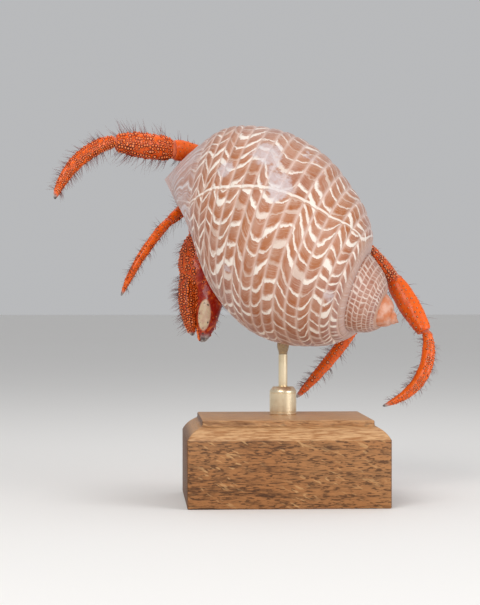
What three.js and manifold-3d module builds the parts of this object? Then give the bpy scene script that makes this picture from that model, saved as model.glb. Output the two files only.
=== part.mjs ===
// Hermit crab in a tun shell, life size, fixed on a rod above a moulded hardwood block.
// Millimetres, +Z up. The origin is the centre of the block's underside; the shell's back
// faces -Y, the crab's head faces +Y and its left side is on -X.
import * as THREE from 'three';
import { mergeVertices } from 'three/addons/utils/BufferGeometryUtils.js';
import Module from 'manifold-3d';

const wasm = await Module();
wasm.setup();
const V = (x, y, z) => new THREE.Vector3(x, y, z);
const rad = THREE.MathUtils.degToRad;
const GAP = 0.3; // clearance between neighbouring pieces

// ---- stand ----
const BASE = { width: 90, depth: 78.4, shoulder: 30, moulding: 36, top: 38.5, inset: 6.8, bulge: 0.9 };
const ROD = { y: 11, radius: 2.05, top: 67.4 };
const FERRULE = { radius: 6.2, topRadius: 4.6, height: 12.6, chamfer: 2 };
const SADDLE = { bottom: 66.2, lowRadius: 2.5, topRadius: 3.2, top: 73 };

// ---- shell: one profile, scaled by GROWTH each turn and swept about the shell's axis ----
const SHELL = {
  apex: [52.2, -8, 81.3], dip: 28.7, toward: 19.7,
  growth: 2.4, lip: 125, turns: 3.75, steps: 30, wall: 1.7, pillar: 3.6, notch: 13,
};
// distance along the axis and radius, from the suture to the foot, for the whorl at 90 degrees
const PROFILE = [
  [27.8, 21.7], [31, 30], [40.2, 39.2], [50.9, 45.4], [63.3, 51.1], [76, 54.1], [89, 54.5],
  [101.9, 51.7], [113.6, 46.5], [120.4, 40.5], [125.4, 31.8], [129, 24], [131.5, 16.2], [131.9, 9.6],
];
const COVERED = 66.8;  // where along the axis the next whorl's suture lies on the profile
const FOOT_SHIFT = [[-180, 0], [-90, 1], [-45, 6], [0, 11.6], [40, 8.2], [80, 1.4], [125, -8.6]];
const SPIRE_COLUMNS = 6, FOOT_COLUMNS = 9;

// ---- crab ----
const BODY = { at: [-3, 55, 134], forward: [-0.05, 0.8, -0.6], up: [0, 0.6, 0.8] };
const THORAX = { wide: 8.2, long: 13, high: 6.2, drop: 2 };
const SHIELD = { wide: 9.2, long: 11.6, high: 7.4, ahead: 2.4 };
// depth in the plane of flexion and thickness across it
const LEG = {
  merus: { depth: 9.5, thick: 6 }, carpus: { depth: 8.8, thick: 6.6 },
  propodus: { depth: 10.2, thick: 7 }, dactyl: { depth: 4.8, thick: 4.4 },
};
const SIDES = 7;
const REACH = Math.cos(Math.PI / 2 / SIDES);  // a limb of seven sides reaches this far either way across

const solid = (geometry) => {
  const g = geometry.clone();
  g.deleteAttribute('normal');
  g.deleteAttribute('uv');
  const m = mergeVertices(g, 1e-4);
  const tri = [];
  for (let i = 0; i < m.index.count; i += 3) {
    const [a, b, c] = [m.index.getX(i), m.index.getX(i + 1), m.index.getX(i + 2)];
    if (a !== b && b !== c && c !== a) tri.push(a, b, c);
  }
  return new wasm.Manifold(new wasm.Mesh({
    numProp: 3, vertProperties: new Float32Array(m.attributes.position.array), triVerts: new Uint32Array(tri),
  }));
};

const geometryOf = (body) => {
  const parts = body.decompose().sort((a, b) => b.volume() - a.volume());
  const mesh = parts[0].getMesh();
  const g = new THREE.BufferGeometry();
  g.setAttribute('position', new THREE.Float32BufferAttribute(mesh.vertProperties, 3));
  g.setIndex([...mesh.triVerts]);
  g.computeVertexNormals();
  return g;
};

// rings of equal count joined into a skin and closed by a pole at each end
const loft = (rings, first, last) => {
  const n = rings[0].length, pos = [first, ...rings.flat(), last], tri = [];
  const id = (i, j) => 1 + i * n + (j % n);
  for (let j = 0; j < n; j++) {
    tri.push(0, id(0, j + 1), id(0, j), pos.length - 1, id(rings.length - 1, j), id(rings.length - 1, j + 1));
    for (let i = 0; i < rings.length - 1; i++) {
      tri.push(id(i, j), id(i, j + 1), id(i + 1, j + 1), id(i, j), id(i + 1, j + 1), id(i + 1, j));
    }
  }
  const g = new THREE.BufferGeometry();
  g.setAttribute('position', new THREE.Float32BufferAttribute(pos.flatMap((p) => [p.x, p.y, p.z]), 3));
  g.setIndex(tri);
  g.computeVertexNormals();
  return g;
};

// a limb segment along +Z: deep along X, thick along Y, its middle line bowed towards +X
const spindle = (length, form, { depth, thick, start = 1.2, bow = 0, grow = 0, shift = () => 0 }) => {
  const rings = form.map(([t, k]) => {
    const z = THREE.MathUtils.lerp(-start, length, t);
    const x0 = bow * 4 * t * (1 - t) + shift(t);
    return Array.from({ length: SIDES }, (_, j) => {
      const a = (0.25 + j / SIDES) * 2 * Math.PI;
      return V(x0 + (depth / 2 * k / REACH + grow) * Math.cos(a), (thick / 2 * k + grow) * Math.sin(a), z);
    });
  });
  return loft(rings, V(shift(0), 0, -start - 0.5 - grow), V(shift(1), 0, length + 0.5 + grow));
};
const FORM = {
  merus: [[0, 0.45], [0.08, 0.62], [0.32, 0.84], [0.68, 1.02], [0.93, 0.94], [1, 0.6]],
  carpus: [[0, 0.4], [0.1, 0.62], [0.35, 0.86], [0.7, 1], [0.93, 0.95], [1, 0.7]],
  propodus: [[0, 0.42], [0.08, 0.7], [0.28, 0.98], [0.6, 1], [0.93, 0.75], [1, 0.52]],
  dactyl: [[0, 0.55], [0.06, 0.9], [0.27, 1], [0.5, 0.92], [0.72, 0.76], [0.9, 0.48], [1, 0.14]],
};

const root = new THREE.Group();
const paint = (color, roughness, metalness = 0) =>
  new THREE.MeshStandardMaterial({ color, roughness, metalness });
const LOOK = {
  wood: () => paint(0x7c5636, 0.55), brass: () => paint(0xc9a964, 0.3, 1), glue: () => paint(0xc9a25c, 0.25),
  shell: () => paint(0xcaa087, 0.45), orange: () => paint(0xd9501c, 0.42), red: () => paint(0x8e2413, 0.45),
  shield: () => paint(0xc2451d, 0.4), soft: () => paint(0xa8654a, 0.6), eye: () => paint(0x14100e, 0.12),
};
const add = (parent, name, geometry, look) => {
  const mesh = new THREE.Mesh(geometry, LOOK[look]());
  mesh.name = name;
  parent.add(mesh);
  return mesh;
};

// ---- stand ----
const frame = (inset, z) => [[-1, -1], [1, -1], [1, 1], [-1, 1]]
  .map(([i, j]) => V(i * (BASE.width / 2 - inset), j * (BASE.depth / 2 - inset), z));
const mould = [0, 0.2, 0.4, 0.6, 0.8, 1].map((t) => frame(
  BASE.inset * t - BASE.bulge * 4 * t * (1 - t) * 0.66,
  BASE.shoulder + (BASE.moulding - BASE.shoulder) * t + BASE.bulge * 4 * t * (1 - t) * 0.75));
add(root, 'stand_base',
  loft([frame(0, 0), ...mould, frame(BASE.inset, BASE.top)], V(0, 0, 0), V(0, 0, BASE.top)), 'wood');

const post = new THREE.Group();
post.position.set(0.8, ROD.y, 0);
root.add(post);
const turned = (points, segments = 20) => {
  const g = new THREE.LatheGeometry(points.map(([r, z]) => new THREE.Vector2(r, z)), segments);
  g.rotateX(Math.PI / 2);
  return g;
};
const ferruleTop = BASE.top + GAP + FERRULE.height;
add(post, 'stand_ferrule', geometryOf(solid(turned([
  [0, BASE.top + GAP], [FERRULE.radius, BASE.top + GAP], [FERRULE.radius, ferruleTop - FERRULE.chamfer],
  [FERRULE.topRadius, ferruleTop], [0, ferruleTop]]))), 'brass');
add(post, 'stand_rod', geometryOf(solid(turned([
  [0, ferruleTop + GAP], [ROD.radius, ferruleTop + GAP], [ROD.radius, SADDLE.bottom - GAP],
  [0, SADDLE.bottom - GAP]], 16))), 'brass');

// ---- shell ----
const dip = rad(SHELL.dip), toward = rad(SHELL.toward);
const along = V(Math.cos(dip), 0, -Math.sin(dip)), camera = V(0, -1, 0);
const axis = along.clone().multiplyScalar(Math.cos(toward)).addScaledVector(camera, Math.sin(toward));
const near = camera.clone().multiplyScalar(Math.cos(toward)).addScaledVector(along, -Math.sin(toward));
const over = V(Math.sin(dip), 0, Math.cos(dip));
const shellFrame = new THREE.Group();
shellFrame.position.set(...SHELL.apex);
shellFrame.quaternion.setFromRotationMatrix(new THREE.Matrix4().makeBasis(near, over, axis.clone().negate()));
root.add(shellFrame);

const spline = new THREE.SplineCurve(PROFILE.map(([z, r]) => new THREE.Vector2(z, r)));
const fine = spline.getSpacedPoints(240);
const covered = fine.findIndex((p) => p.x >= COVERED);
const suture = fine[covered].clone().divideScalar(SHELL.growth);
const columns = SPIRE_COLUMNS + FOOT_COLUMNS;
const profilePoint = (j) => {
  if (j === 0) return [suture, 0];
  const u = j <= SPIRE_COLUMNS ? (j / SPIRE_COLUMNS) * covered
    : covered + ((j - SPIRE_COLUMNS) / FOOT_COLUMNS) * (240 - covered);
  return [fine[Math.round(u)], THREE.MathUtils.smoothstep(Math.round(u) / 240, 0.6, 1)];
};
const scaleAt = (deg) => SHELL.growth ** ((deg - 90) / 360);
const footShift = (deg) => {
  const k = FOOT_SHIFT.findIndex(([d]) => d > deg);
  if (k === 0) return 0;
  if (k < 0) return FOOT_SHIFT.at(-1)[1];
  const [[d0, s0], [d1, s1]] = [FOOT_SHIFT[k - 1], FOOT_SHIFT[k]];
  return THREE.MathUtils.mapLinear(deg, d0, d1, s0, s1);
};
const section = (deg, j) => {
  const [p, w] = profilePoint(j);
  return new THREE.Vector2(p.x * scaleAt(deg) + footShift(deg) * w, p.y * scaleAt(deg));
};
const turnPoint = (deg, p) => V(p.y * Math.cos(rad(deg)), p.y * Math.sin(rad(deg)), p.x);

const shellHull = () => {
  const rows = Math.round(SHELL.steps * SHELL.turns), last = rows, open = rows - SHELL.steps;
  const degAt = (i) => SHELL.lip - ((rows - i) / SHELL.steps) * 360;
  const pos = [], tri = [], key = new Map();
  const at = (i, j) => {
    // the covered edge of a spire whorl is the suture of the whorl one turn on
    const [a, b] = j === SPIRE_COLUMNS && i + SHELL.steps <= last ? [i + SHELL.steps, 0] : [i, j];
    const k = `${a},${b}`;
    if (!key.has(k)) {
      const p = section(degAt(a), Math.min(b, columns));
      if (b > columns) p.set(p.x - SHELL.notch * scaleAt(degAt(a)), 0);
      key.set(k, pos.push(turnPoint(degAt(a), p)) - 1);
    }
    return key.get(k);
  };
  const quad = (a, b, c, d) => tri.push(a, b, c, a, c, d);
  for (let i = 0; i < last; i++) {
    const end = i < open ? SPIRE_COLUMNS : columns;
    for (let j = 0; j < end; j++) quad(at(i, j), at(i + 1, j), at(i + 1, j + 1), at(i, j + 1));
    if (i >= open) tri.push(at(i, columns), at(i + 1, columns), at(i + 1, columns + 1));
    if (i >= open) tri.push(at(i, columns), at(i + 1, columns + 1), at(i, columns + 1));
  }
  const tip = pos.push(V(0, 0, 0)) - 1;
  for (let i = 0; i < SHELL.steps; i++) tri.push(tip, at(i + 1, 0), at(i, 0));
  for (let j = 0; j < SPIRE_COLUMNS; j++) tri.push(tip, at(0, j), at(0, j + 1));
  // the flat face at the lip runs from the new whorl's edge back to the old whorl's surface
  const outer = [...Array(columns + 2).keys()].map((j) => at(last, j));
  const inner = [...Array(columns + 2 - SPIRE_COLUMNS).keys()].map((j) => at(open, j + SPIRE_COLUMNS));
  inner[0] = at(last, 0);
  const core = [...Array(SHELL.steps + 1).keys()].map((i) => at(open + i, columns + 1));
  return { pos, tri, outer, inner, core };
};
const hull = shellHull();
const flat = (i) => new THREE.Vector2(hull.pos[i].z, Math.hypot(hull.pos[i].x, hull.pos[i].y));
const lipLoop = [...hull.outer.slice(0, -1), ...hull.core.slice().reverse(),
  ...hull.inner.slice(1, -1).reverse()];
for (const [a, b, c] of THREE.ShapeUtils.triangulateShape(lipLoop.map(flat), [])) {
  hull.tri.push(lipLoop[a], lipLoop[b], lipLoop[c]);
}
const hullGeometry = new THREE.BufferGeometry();
hullGeometry.setAttribute('position',
  new THREE.Float32BufferAttribute(hull.pos.flatMap((p) => [p.x, p.y, p.z]), 3));
hullGeometry.setIndex(hull.tri);

// room inside the whorl at one angle: within the wall, clear of the whorl before and of the pillar
const whorlOutline = (deg) => [...Array(columns + 1).keys()].map((j) => section(deg, j));
const distanceTo = (p, line) => {
  let best = Infinity;
  for (let i = 0; i < line.length - 1; i++) {
    const e = line[i + 1].clone().sub(line[i]);
    const t = THREE.MathUtils.clamp(p.clone().sub(line[i]).dot(e) / e.lengthSq(), 0, 1);
    best = Math.min(best, p.distanceTo(line[i].clone().addScaledVector(e, t)));
  }
  return best;
};
const inside = (p, line) => {
  const poly = [...line, new THREE.Vector2(line.at(-1).x, -1), new THREE.Vector2(line[0].x, -1)];
  let hit = false;
  for (let i = 0, j = poly.length - 1; i < poly.length; j = i++) {
    const [a, b] = [poly[i], poly[j]];
    if ((a.y > p.y) !== (b.y > p.y) && p.x < ((b.x - a.x) * (p.y - a.y)) / (b.y - a.y) + a.x) hit = !hit;
  }
  return hit;
};
const ROOM = { along: 82, out: 31 }; // the middle of the whorl's inside, for the whorl at 90 degrees
const roomSection = (deg) => {
  const now = whorlOutline(Math.min(deg, SHELL.lip)), before = whorlOutline(deg - 360), k = scaleAt(deg);
  const centre = new THREE.Vector2(ROOM.along * k + footShift(deg) * 0.25, ROOM.out * k);
  const free = (p) => p.y > SHELL.pillar * k && inside(p, now) && distanceTo(p, now) > SHELL.wall
    && !inside(p, before) && distanceTo(p, before) > 0.6 * SHELL.wall;
  return Array.from({ length: 20 }, (_, i) => {
    const a = (i / 20) * 2 * Math.PI, d = new THREE.Vector2(Math.cos(a), Math.sin(a));
    let r = 0;
    while (r < 90 && free(centre.clone().addScaledVector(d, r + 0.25))) r += 0.25;
    return turnPoint(deg, centre.clone().addScaledVector(d, r));
  });
};
const mean = (ring) => ring.reduce((s, p) => s.add(p), V(0, 0, 0)).divideScalar(ring.length);
const roomRings = [...Array(21).keys()].map((i) => roomSection(SHELL.lip - 235 + 245 * (i / 20)));
roomRings[0] = roomRings[0].map((p) => mean(roomRings[0]).lerp(p, 0.6));
const room = loft(roomRings, mean(roomRings[0]), mean(roomRings.at(-1)));
const hullBody = solid(hullGeometry);
add(shellFrame, 'shell', geometryOf(hullBody.subtract(solid(room))), 'shell');

// the glue cup is cut to the shell's underside
shellFrame.updateWorldMatrix(true, true);
const lowered = new THREE.Matrix4().makeTranslation(-0.8, -ROD.y, -GAP - 0.05)
  .multiply(shellFrame.matrixWorld);
const cup = solid(turned([[0, SADDLE.bottom], [SADDLE.lowRadius, SADDLE.bottom], [SADDLE.topRadius, 69],
  [SADDLE.topRadius, SADDLE.top], [0, SADDLE.top]], 16));
add(post, 'stand_saddle',
  geometryOf(cup.subtract(solid(hullGeometry.clone().applyMatrix4(lowered)))), 'glue');

// ---- crab's body ----
const fwd = V(...BODY.forward).normalize();
const up = V(...BODY.up).addScaledVector(fwd, -V(...BODY.up).dot(fwd)).normalize();
const right = new THREE.Vector3().crossVectors(fwd, up);
const body = new THREE.Group();
body.position.set(...BODY.at);
body.quaternion.setFromRotationMatrix(new THREE.Matrix4().makeBasis(right, fwd, up));
root.add(body);
body.updateWorldMatrix(true, true);
const toBody = body.matrixWorld.clone().invert();
const spot = (p) => V(...p).applyMatrix4(body.matrixWorld);

const egg = (a, b, c, x, y, z, w = 16, h = 10) => {
  const g = new THREE.SphereGeometry(1, w, h);
  g.rotateX(Math.PI / 2);
  g.scale(a, b, c);
  g.translate(x, y, z);
  return g;
};

// ---- limbs: each row is a segment's world heading (azimuth, elevation) and length ----
const heading = ([az, el]) => V(Math.cos(rad(az)) * Math.cos(rad(el)), Math.sin(rad(az)) * Math.cos(rad(el)),
  Math.sin(rad(el)));
const LIMBS = {
  leg3_left: { root: [-6.5, -6, -3.5], hip: [178, 18, 9], merus: [126, 43, 36], carpus: [-143, 5, 21],
    propodus: [-158, 5, 30], dactyl: [-156, -42.5, 42], wrist: [0, 0, 1], bow: 5.5, broad: 1.2, toe: 1.45 },
  leg2_left: { root: [-6.5, 1.5, -5], hip: [153, 7, 9], merus: [100, 29, 36], carpus: [-119, -8, 21],
    propodus: [-137, -33, 30], dactyl: [-156, -55, 44], bow: 4, broad: 0.75, toe: 1 },
  leg3_right: { root: [6.5, -6.5, -3], hip: [-4, -27, 9], merus: [6, -23, 36.8], carpus: [-7, -53, 21],
    propodus: [-39, -55, 30.5], dactyl: [-161, -56, 42], bow: 9, broad: 1.05, toe: 1.12 },
  leg2_right: { root: [6.5, 2, -5.5], hip: [-4, -41, 9], merus: [52, 4, 36.6], carpus: [21, -61, 21],
    propodus: [-102, -77, 31], dactyl: [-169, -49, 45], bow: 1, broad: 0.9, toe: 1.1 },
};
const CLAWS = {
  claw_left: { root: [-4.8, 9, -4.5], hip: [173, -73, 8], merus: [124, -1, 21], carpus: [179, 33, 15],
    palm: [-93, -70, 57.8], across: [1, -0.1, 0], size: 1 },
  claw_right: { root: [4.8, 9, -4.5], hip: [-1, -73, 7], merus: [71, -29, 17], carpus: [-149, -25, 12],
    palm: [-117, -46, 35], across: [-1, 0.3, 0], size: 0.62 },
};

// a frame at `from` with +Z along the heading and +X as near as may be to `deep`
const seat = (from, dir, deep) => {
  const z = dir.clone().normalize();
  const x = deep.clone().addScaledVector(z, -deep.dot(z)).normalize();
  return new THREE.Matrix4().makeBasis(x, new THREE.Vector3().crossVectors(z, x), z).setPosition(from);
};
const hips = [];
const chain = (name, plan, kinds, build) => {
  let joint = spot(plan.root);
  const hipEnd = joint.clone().addScaledVector(heading(plan.hip), plan.hip[2]);
  hips.push([joint, hipEnd, plan.hipRadius ?? 2.9]);
  joint = hipEnd;
  const dirs = kinds.map((k) => heading(plan[k]));
  const seats = kinds.map((k, i) => {
    const next = dirs[i + 1] ?? dirs[i - 1].clone().negate();
    const set = { palm: plan.across, carpus: plan.wrist }[k];
    const deep = set ? V(...set)
      : dirs[i].clone().multiplyScalar(next.dot(dirs[i])).sub(next);
    const m = seat(joint, dirs[i], deep);
    joint = joint.clone().addScaledVector(dirs[i], plan[k][2]);
    return m;
  });
  return kinds.map((k, i) => ({ kind: k, matrix: seats[i], ...build(k, plan) })).map((s, i, all) => {
    let piece = solid(s.geometry);
    if (all[i + 1]) {
      const rel = s.matrix.clone().invert().multiply(all[i + 1].matrix);
      for (const c of all[i + 1].cutters) piece = piece.subtract(solid(c.clone().applyMatrix4(rel)));
    }
    return { ...s, piece, name: `${name}_${s.kind}` };
  });
};
const place = (segment, look, suffix = segment.name) => {
  const mesh = add(root, suffix, geometryOf(segment.piece), look);
  segment.matrix.decompose(mesh.position, mesh.quaternion, mesh.scale);
  return mesh;
};

const starts = [];
for (const [name, plan] of Object.entries(LIMBS)) {
  const build = (kind) => {
    const base = LEG[kind], broad = kind === 'dactyl' ? plan.toe : plan.broad;
    const size = { depth: base.depth * broad, thick: base.thick * Math.min(1, broad + 0.1) };
    const bow = kind === 'dactyl' ? plan.bow : 0, length = plan[kind][2] - (kind === 'dactyl' ? 0.5 : 1);
    return {
      geometry: spindle(length, FORM[kind], { ...size, bow }),
      cutters: [spindle(length, FORM[kind], { ...size, bow, grow: GAP + 0.05 })],
    };
  };
  const segments = chain(name, plan, ['merus', 'carpus', 'propodus', 'dactyl'], build);
  segments.forEach((s) => place(s, 'orange'));
  starts.push(...segments[0].cutters.map((c) => c.clone().applyMatrix4(segments[0].matrix)));
}

// claws: a broad palm with its fixed finger, and a movable finger hinged on the palm's outer side
const PALM_FORM = [[0, 0.34], [0.13, 0.7], [0.32, 0.98], [0.5, 1], [0.62, 0.84], [0.7, 0.55]];
const FINGER_FORM = [[0, 0.5], [0.1, 0.85], [0.35, 1], [0.6, 0.84], [0.82, 0.56], [0.95, 0.3], [1, 0.16]];
for (const [name, plan] of Object.entries(CLAWS)) {
  const k = plan.size, whole = plan.palm[2];
  const finger = (grow) => {
    const g = spindle(0.58 * whole, FINGER_FORM, { depth: 9 * k, thick: 10.5 * k, bow: -1.6 * k, grow });
    g.rotateY(rad(3.5));
    g.translate(-5.6 * k, 0, 0.38 * whole);
    return g;
  };
  const build = (kind) => {
    if (kind !== 'palm') {
      const size = { depth: (kind === 'merus' ? 10 : 11) * k ** 0.8, thick: 8.5 * k ** 0.8 };
      return {
        geometry: spindle(plan[kind][2] - 1, FORM[kind], size),
        cutters: [spindle(plan[kind][2] - 1, FORM[kind], { ...size, grow: GAP + 0.05 })],
      };
    }
    const shape = { depth: 22 * k, thick: 14 * k };
    const palm = solid(spindle(0.76 * whole, PALM_FORM, shape));
    const fixed = spindle(0.64 * whole, FINGER_FORM, { depth: 14.5 * k, thick: 11 * k, bow: 1.5 * k });
    fixed.rotateY(rad(-4));
    fixed.translate(3.6 * k, 0, 0.38 * whole);
    return {
      geometry: geometryOf(palm.add(solid(fixed)).subtract(solid(finger(GAP + 0.05)))),
      cutters: [spindle(0.76 * whole, PALM_FORM, { ...shape, grow: GAP + 0.05 })],
    };
  };
  const segments = chain(name, { ...plan, hipRadius: 3.1 * k ** 0.5 }, ['merus', 'carpus', 'palm'], build);
  segments.forEach((s) => place(s, s.kind === 'palm' && name === 'claw_left' ? 'red' : 'orange'));
  place({ ...segments[2], piece: solid(finger(0)), name: `${name}_finger` }, 'orange');
  starts.push(...segments[0].cutters.map((c) => c.clone().applyMatrix4(segments[0].matrix)));
}

// ---- feelers, eyes, mouthparts and small hind legs, in the body's own frame ----
const tube = (points, radii, sides = 6, grow = 0) => {
  const curve = new THREE.CatmullRomCurve3(points);
  const count = radii.length - 1, frames = curve.computeFrenetFrames(count, false);
  const rings = radii.map((r, i) => Array.from({ length: sides }, (_, j) => {
    const a = (j / sides) * 2 * Math.PI;
    return curve.getPointAt(i / count).addScaledVector(frames.normals[i], (r + grow) * Math.cos(a))
      .addScaledVector(frames.binormals[i], (r + grow) * Math.sin(a));
  }));
  const tip = (i) => curve.getPointAt(i / count)
    .addScaledVector(frames.tangents[i], (i ? 0.4 : -0.4) * radii[i] + (i ? grow : -grow));
  return loft(rings, tip(0), tip(count));
};
const APPENDAGES = {
  eyestalk: { look: 'orange', sides: 8, radii: [1.2, 1.5, 1.35, 1.25, 1.4, 1.7],
    points: [[2.2, 12.6, 3.6], [3.2, 17, 5.8], [4.2, 21.6, 7.8]] },
  antennule: { look: 'orange', sides: 6, radii: [0.7, 0.75, 0.65, 0.6, 0.55, 0.5, 0.42, 0.3],
    points: [[1, 12.9, 1], [1.4, 18, 2.6], [1.8, 22, 6.4], [1.9, 21.4, 10.4]] },
  antenna_base: { look: 'orange', sides: 8, radii: [1.5, 1.7, 1.5, 1.25, 0.9],
    points: [[5.4, 11, 1.2], [6, 15, 1.6], [5.8, 20, 2]] },
  antenna: { look: 'red', sides: 5,
    radii: [0.6, 0.55, 0.52, 0.5, 0.48, 0.45, 0.42, 0.4, 0.37, 0.34, 0.3, 0.27],
    points: [[5.8, 21, 2], [7.5, 34, 8], [13, 52, 9], [18, 66, -2], [20, 74, -18]] },
  maxilliped: { look: 'orange', sides: 8, radii: [1.3, 1.6, 1.6, 1.3, 1.2, 1, 0.7],
    points: [[2.3, 11.4, -4.4], [2.6, 17, -6.6], [2.2, 21, -11], [1.7, 20, -16]] },
  leg4: { look: 'orange', sides: 8, radii: [1.3, 1.5, 1.4, 1.25, 1, 0.6],
    points: [[7.8, -8.6, 1.6], [10.6, -9, 4], [11.4, -4, 6.6], [11, 1.5, 6.4]] },
};
const EYE = { radius: 2, at: [4.6, 24.1, 8.6] };
const sockets = [];
for (const [side, word] of [[-1, 'left'], [1, 'right']]) {
  for (const [name, { look, sides, radii, points }] of Object.entries(APPENDAGES)) {
    const line = points.map(([x, y, z]) => V(side * x, y, z));
    add(body, `${name}_${word}`, tube(line, radii, sides), look);
    if (name !== 'antenna') sockets.push(solid(tube(line, radii, sides, GAP + 0.05)));
  }
  const [x, y, z] = EYE.at;
  add(body, `cornea_${word}`, egg(EYE.radius, EYE.radius, EYE.radius, side * x, y, z, 10, 6), 'eye');
}

// ---- thorax with the hips joined on, and the shield lying over its front ----
const trunk = (grow) =>
  egg(THORAX.wide + grow, THORAX.long + grow, THORAX.high + grow, 0, -1, -THORAX.drop, 12, 8);
let thorax = solid(trunk(0));
for (const [a, b, r] of hips) {
  const hip = spindle(a.distanceTo(b) + 2.2, [[0, 0.85], [0.45, 1], [1, 0.7]],
    { depth: 2 * r, thick: 2 * r });
  hip.applyMatrix4(toBody.clone().multiply(seat(a, b.clone().sub(a), up)));
  thorax = thorax.add(solid(hip));
}
for (const s of starts) thorax = thorax.subtract(solid(s.clone().applyMatrix4(toBody)));
for (const s of sockets) thorax = thorax.subtract(s);
add(body, 'thorax', geometryOf(thorax), 'soft');

let plate = solid(egg(SHIELD.wide, SHIELD.long, SHIELD.high, 0, SHIELD.ahead, -THORAX.drop + 0.2))
  .subtract(solid(trunk(GAP)))
  .subtract(solid(new THREE.BoxGeometry(40, 60, 20).translate(0, 0, -9.4)));
for (const s of sockets) plate = plate.subtract(s);
add(body, 'shield', geometryOf(plate), 'shield');

// ---- abdomen: a soft tapering body that curls back into the whorl ----
const ABDOMEN = { from: 121, to: -30, radii: [6, 8.6, 10, 10.6, 10.4, 9.8, 9, 8, 6.8, 5.4, 3.6] };
const whorlMiddle = (deg) =>
  turnPoint(deg, new THREE.Vector2(ROOM.along, ROOM.out).multiplyScalar(scaleAt(deg)));
const curl = Array.from({ length: 9 }, (_, i) => ABDOMEN.from + ((ABDOMEN.to - ABDOMEN.from) * i) / 8);
const belly = tube(curl.map(whorlMiddle), ABDOMEN.radii, 14);
const rear = shellFrame.matrixWorld.clone().invert().multiply(body.matrixWorld);
add(shellFrame, 'abdomen', geometryOf(solid(belly).subtract(solid(trunk(GAP).applyMatrix4(rear)))), 'soft');

export default root;
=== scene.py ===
"""A hermit crab in a tun shell, life size, on a rod above a moulded hardwood block.

Lengths in the tables are millimetres; +Z is up, -Y is the front, and the crab's left is on -X.
"""
import math
from contextlib import contextmanager

import bmesh
import bpy
import numpy as np
from bpy.props import FloatProperty, FloatVectorProperty, IntProperty, PointerProperty
from mathutils import Matrix, Vector, geometry, noise
from mathutils.bvhtree import BVHTree


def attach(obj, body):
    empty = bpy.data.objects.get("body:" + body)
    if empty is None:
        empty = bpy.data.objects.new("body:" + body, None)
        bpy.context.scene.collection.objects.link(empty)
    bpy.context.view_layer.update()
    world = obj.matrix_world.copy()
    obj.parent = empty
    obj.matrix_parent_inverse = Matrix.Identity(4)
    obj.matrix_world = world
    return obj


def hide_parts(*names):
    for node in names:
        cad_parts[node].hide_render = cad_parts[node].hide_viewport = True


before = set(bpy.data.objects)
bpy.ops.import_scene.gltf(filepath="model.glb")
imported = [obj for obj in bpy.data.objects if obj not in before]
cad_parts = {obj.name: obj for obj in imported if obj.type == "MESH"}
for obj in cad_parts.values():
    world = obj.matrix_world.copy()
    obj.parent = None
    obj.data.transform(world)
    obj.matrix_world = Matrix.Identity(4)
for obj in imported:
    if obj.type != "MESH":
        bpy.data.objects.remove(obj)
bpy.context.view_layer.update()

bl_info = {
    "name": "Mounted Hermit Crab",
    "version": (1, 0, 0),
    "blender": (4, 5, 0),
    "location": "3D View > Sidebar > Specimen",
    "description": "Models a still hermit crab in a tun shell on a wooden block",
    "category": "Add Mesh",
}

MM = 0.001


def tint(code):
    """Linear red, green and blue of a six-digit colour."""
    parts = [int(code[i:i + 2], 16) / 255 for i in (0, 2, 4)]
    return tuple(c / 12.92 if c <= 0.04045 else ((c + 0.055) / 1.055) ** 2.4 for c in parts)


def colour_prop(name, description, code):
    return FloatVectorProperty(name=name, description=description, subtype="COLOR",
                               size=3, min=0, max=1, default=tint(code))


def length_prop(name, description, millimetres):
    return FloatProperty(name=name, description=description, subtype="DISTANCE",
                         unit="LENGTH", min=0, precision=4, default=millimetres * MM)


# ---------------------------------------------------------------- settings

class ShellSettings(bpy.types.PropertyGroup):
    groove_depth: length_prop("Groove depth", "Depth of the grooves between the spiral cords", 0.62)
    lip_wall: length_prop("Lip thickness", "Thickness of the shell at its lip", 0.8)
    cell: colour_prop("Cells", "Brown between the white lines", "a95f27")
    cell_low: colour_prop("Mauve cells", "Cells on the shaded, older side", "965c4c")
    line: colour_prop("White lines", "Crescents along the growth lines", "f4e9dd")
    groove: colour_prop("Grooves", "Grooves between the cords", "cb9c8a")
    worn: colour_prop("Worn", "Rubbed patches", "d8d2d6")
    apex: colour_prop("Apex", "Plain first whorls", "d0794c")
    inside: colour_prop("Inside", "Porcelain lining of the mouth", "d9b9a4")


class CrabSettings(bpy.types.PropertyGroup):
    tubercle: length_prop("Tubercle radius", "Radius of a usual tubercle", 0.42)
    seta_length: length_prop("Seta length", "Length of the longest setae", 9.5)
    seta_radius: length_prop("Seta radius", "Radius of a seta at its root", 0.075)
    crust: colour_prop("Crust", "Bright orange of the legs", "f8660e")
    crust_red: colour_prop("Red crust", "Deeper red of claws and undersides", "941404")
    cap: colour_prop("Tubercle caps", "Pale tops of the tubercles", "f3a052")
    ring: colour_prop("Rings", "Dark rings round the tubercles", "2c0703")
    seta: colour_prop("Setae", "Setae at the root", "5a1c18")
    seta_tip: colour_prop("Seta tips", "Setae at the tip", "7d443d")
    membrane: colour_prop("Membrane", "Soft skin of joints and trunk", "b9826c")


class StandSettings(bpy.types.PropertyGroup):
    edge: length_prop("Edge rounding", "Rounding of the block's edges", 0.7)
    wood: colour_prop("Wood", "Middle brown of the block", "a56e40")
    wood_dark: colour_prop("Dark wood", "Pores and late growth", "4a2d18")
    fleck: colour_prop("Flecks", "Short pale ray flecks", "c99b68")
    brass: colour_prop("Brass", "Rod and ferrule", "f6e4c2")
    glue: colour_prop("Resin", "Resin cup under the shell", "d0ad75")


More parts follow.
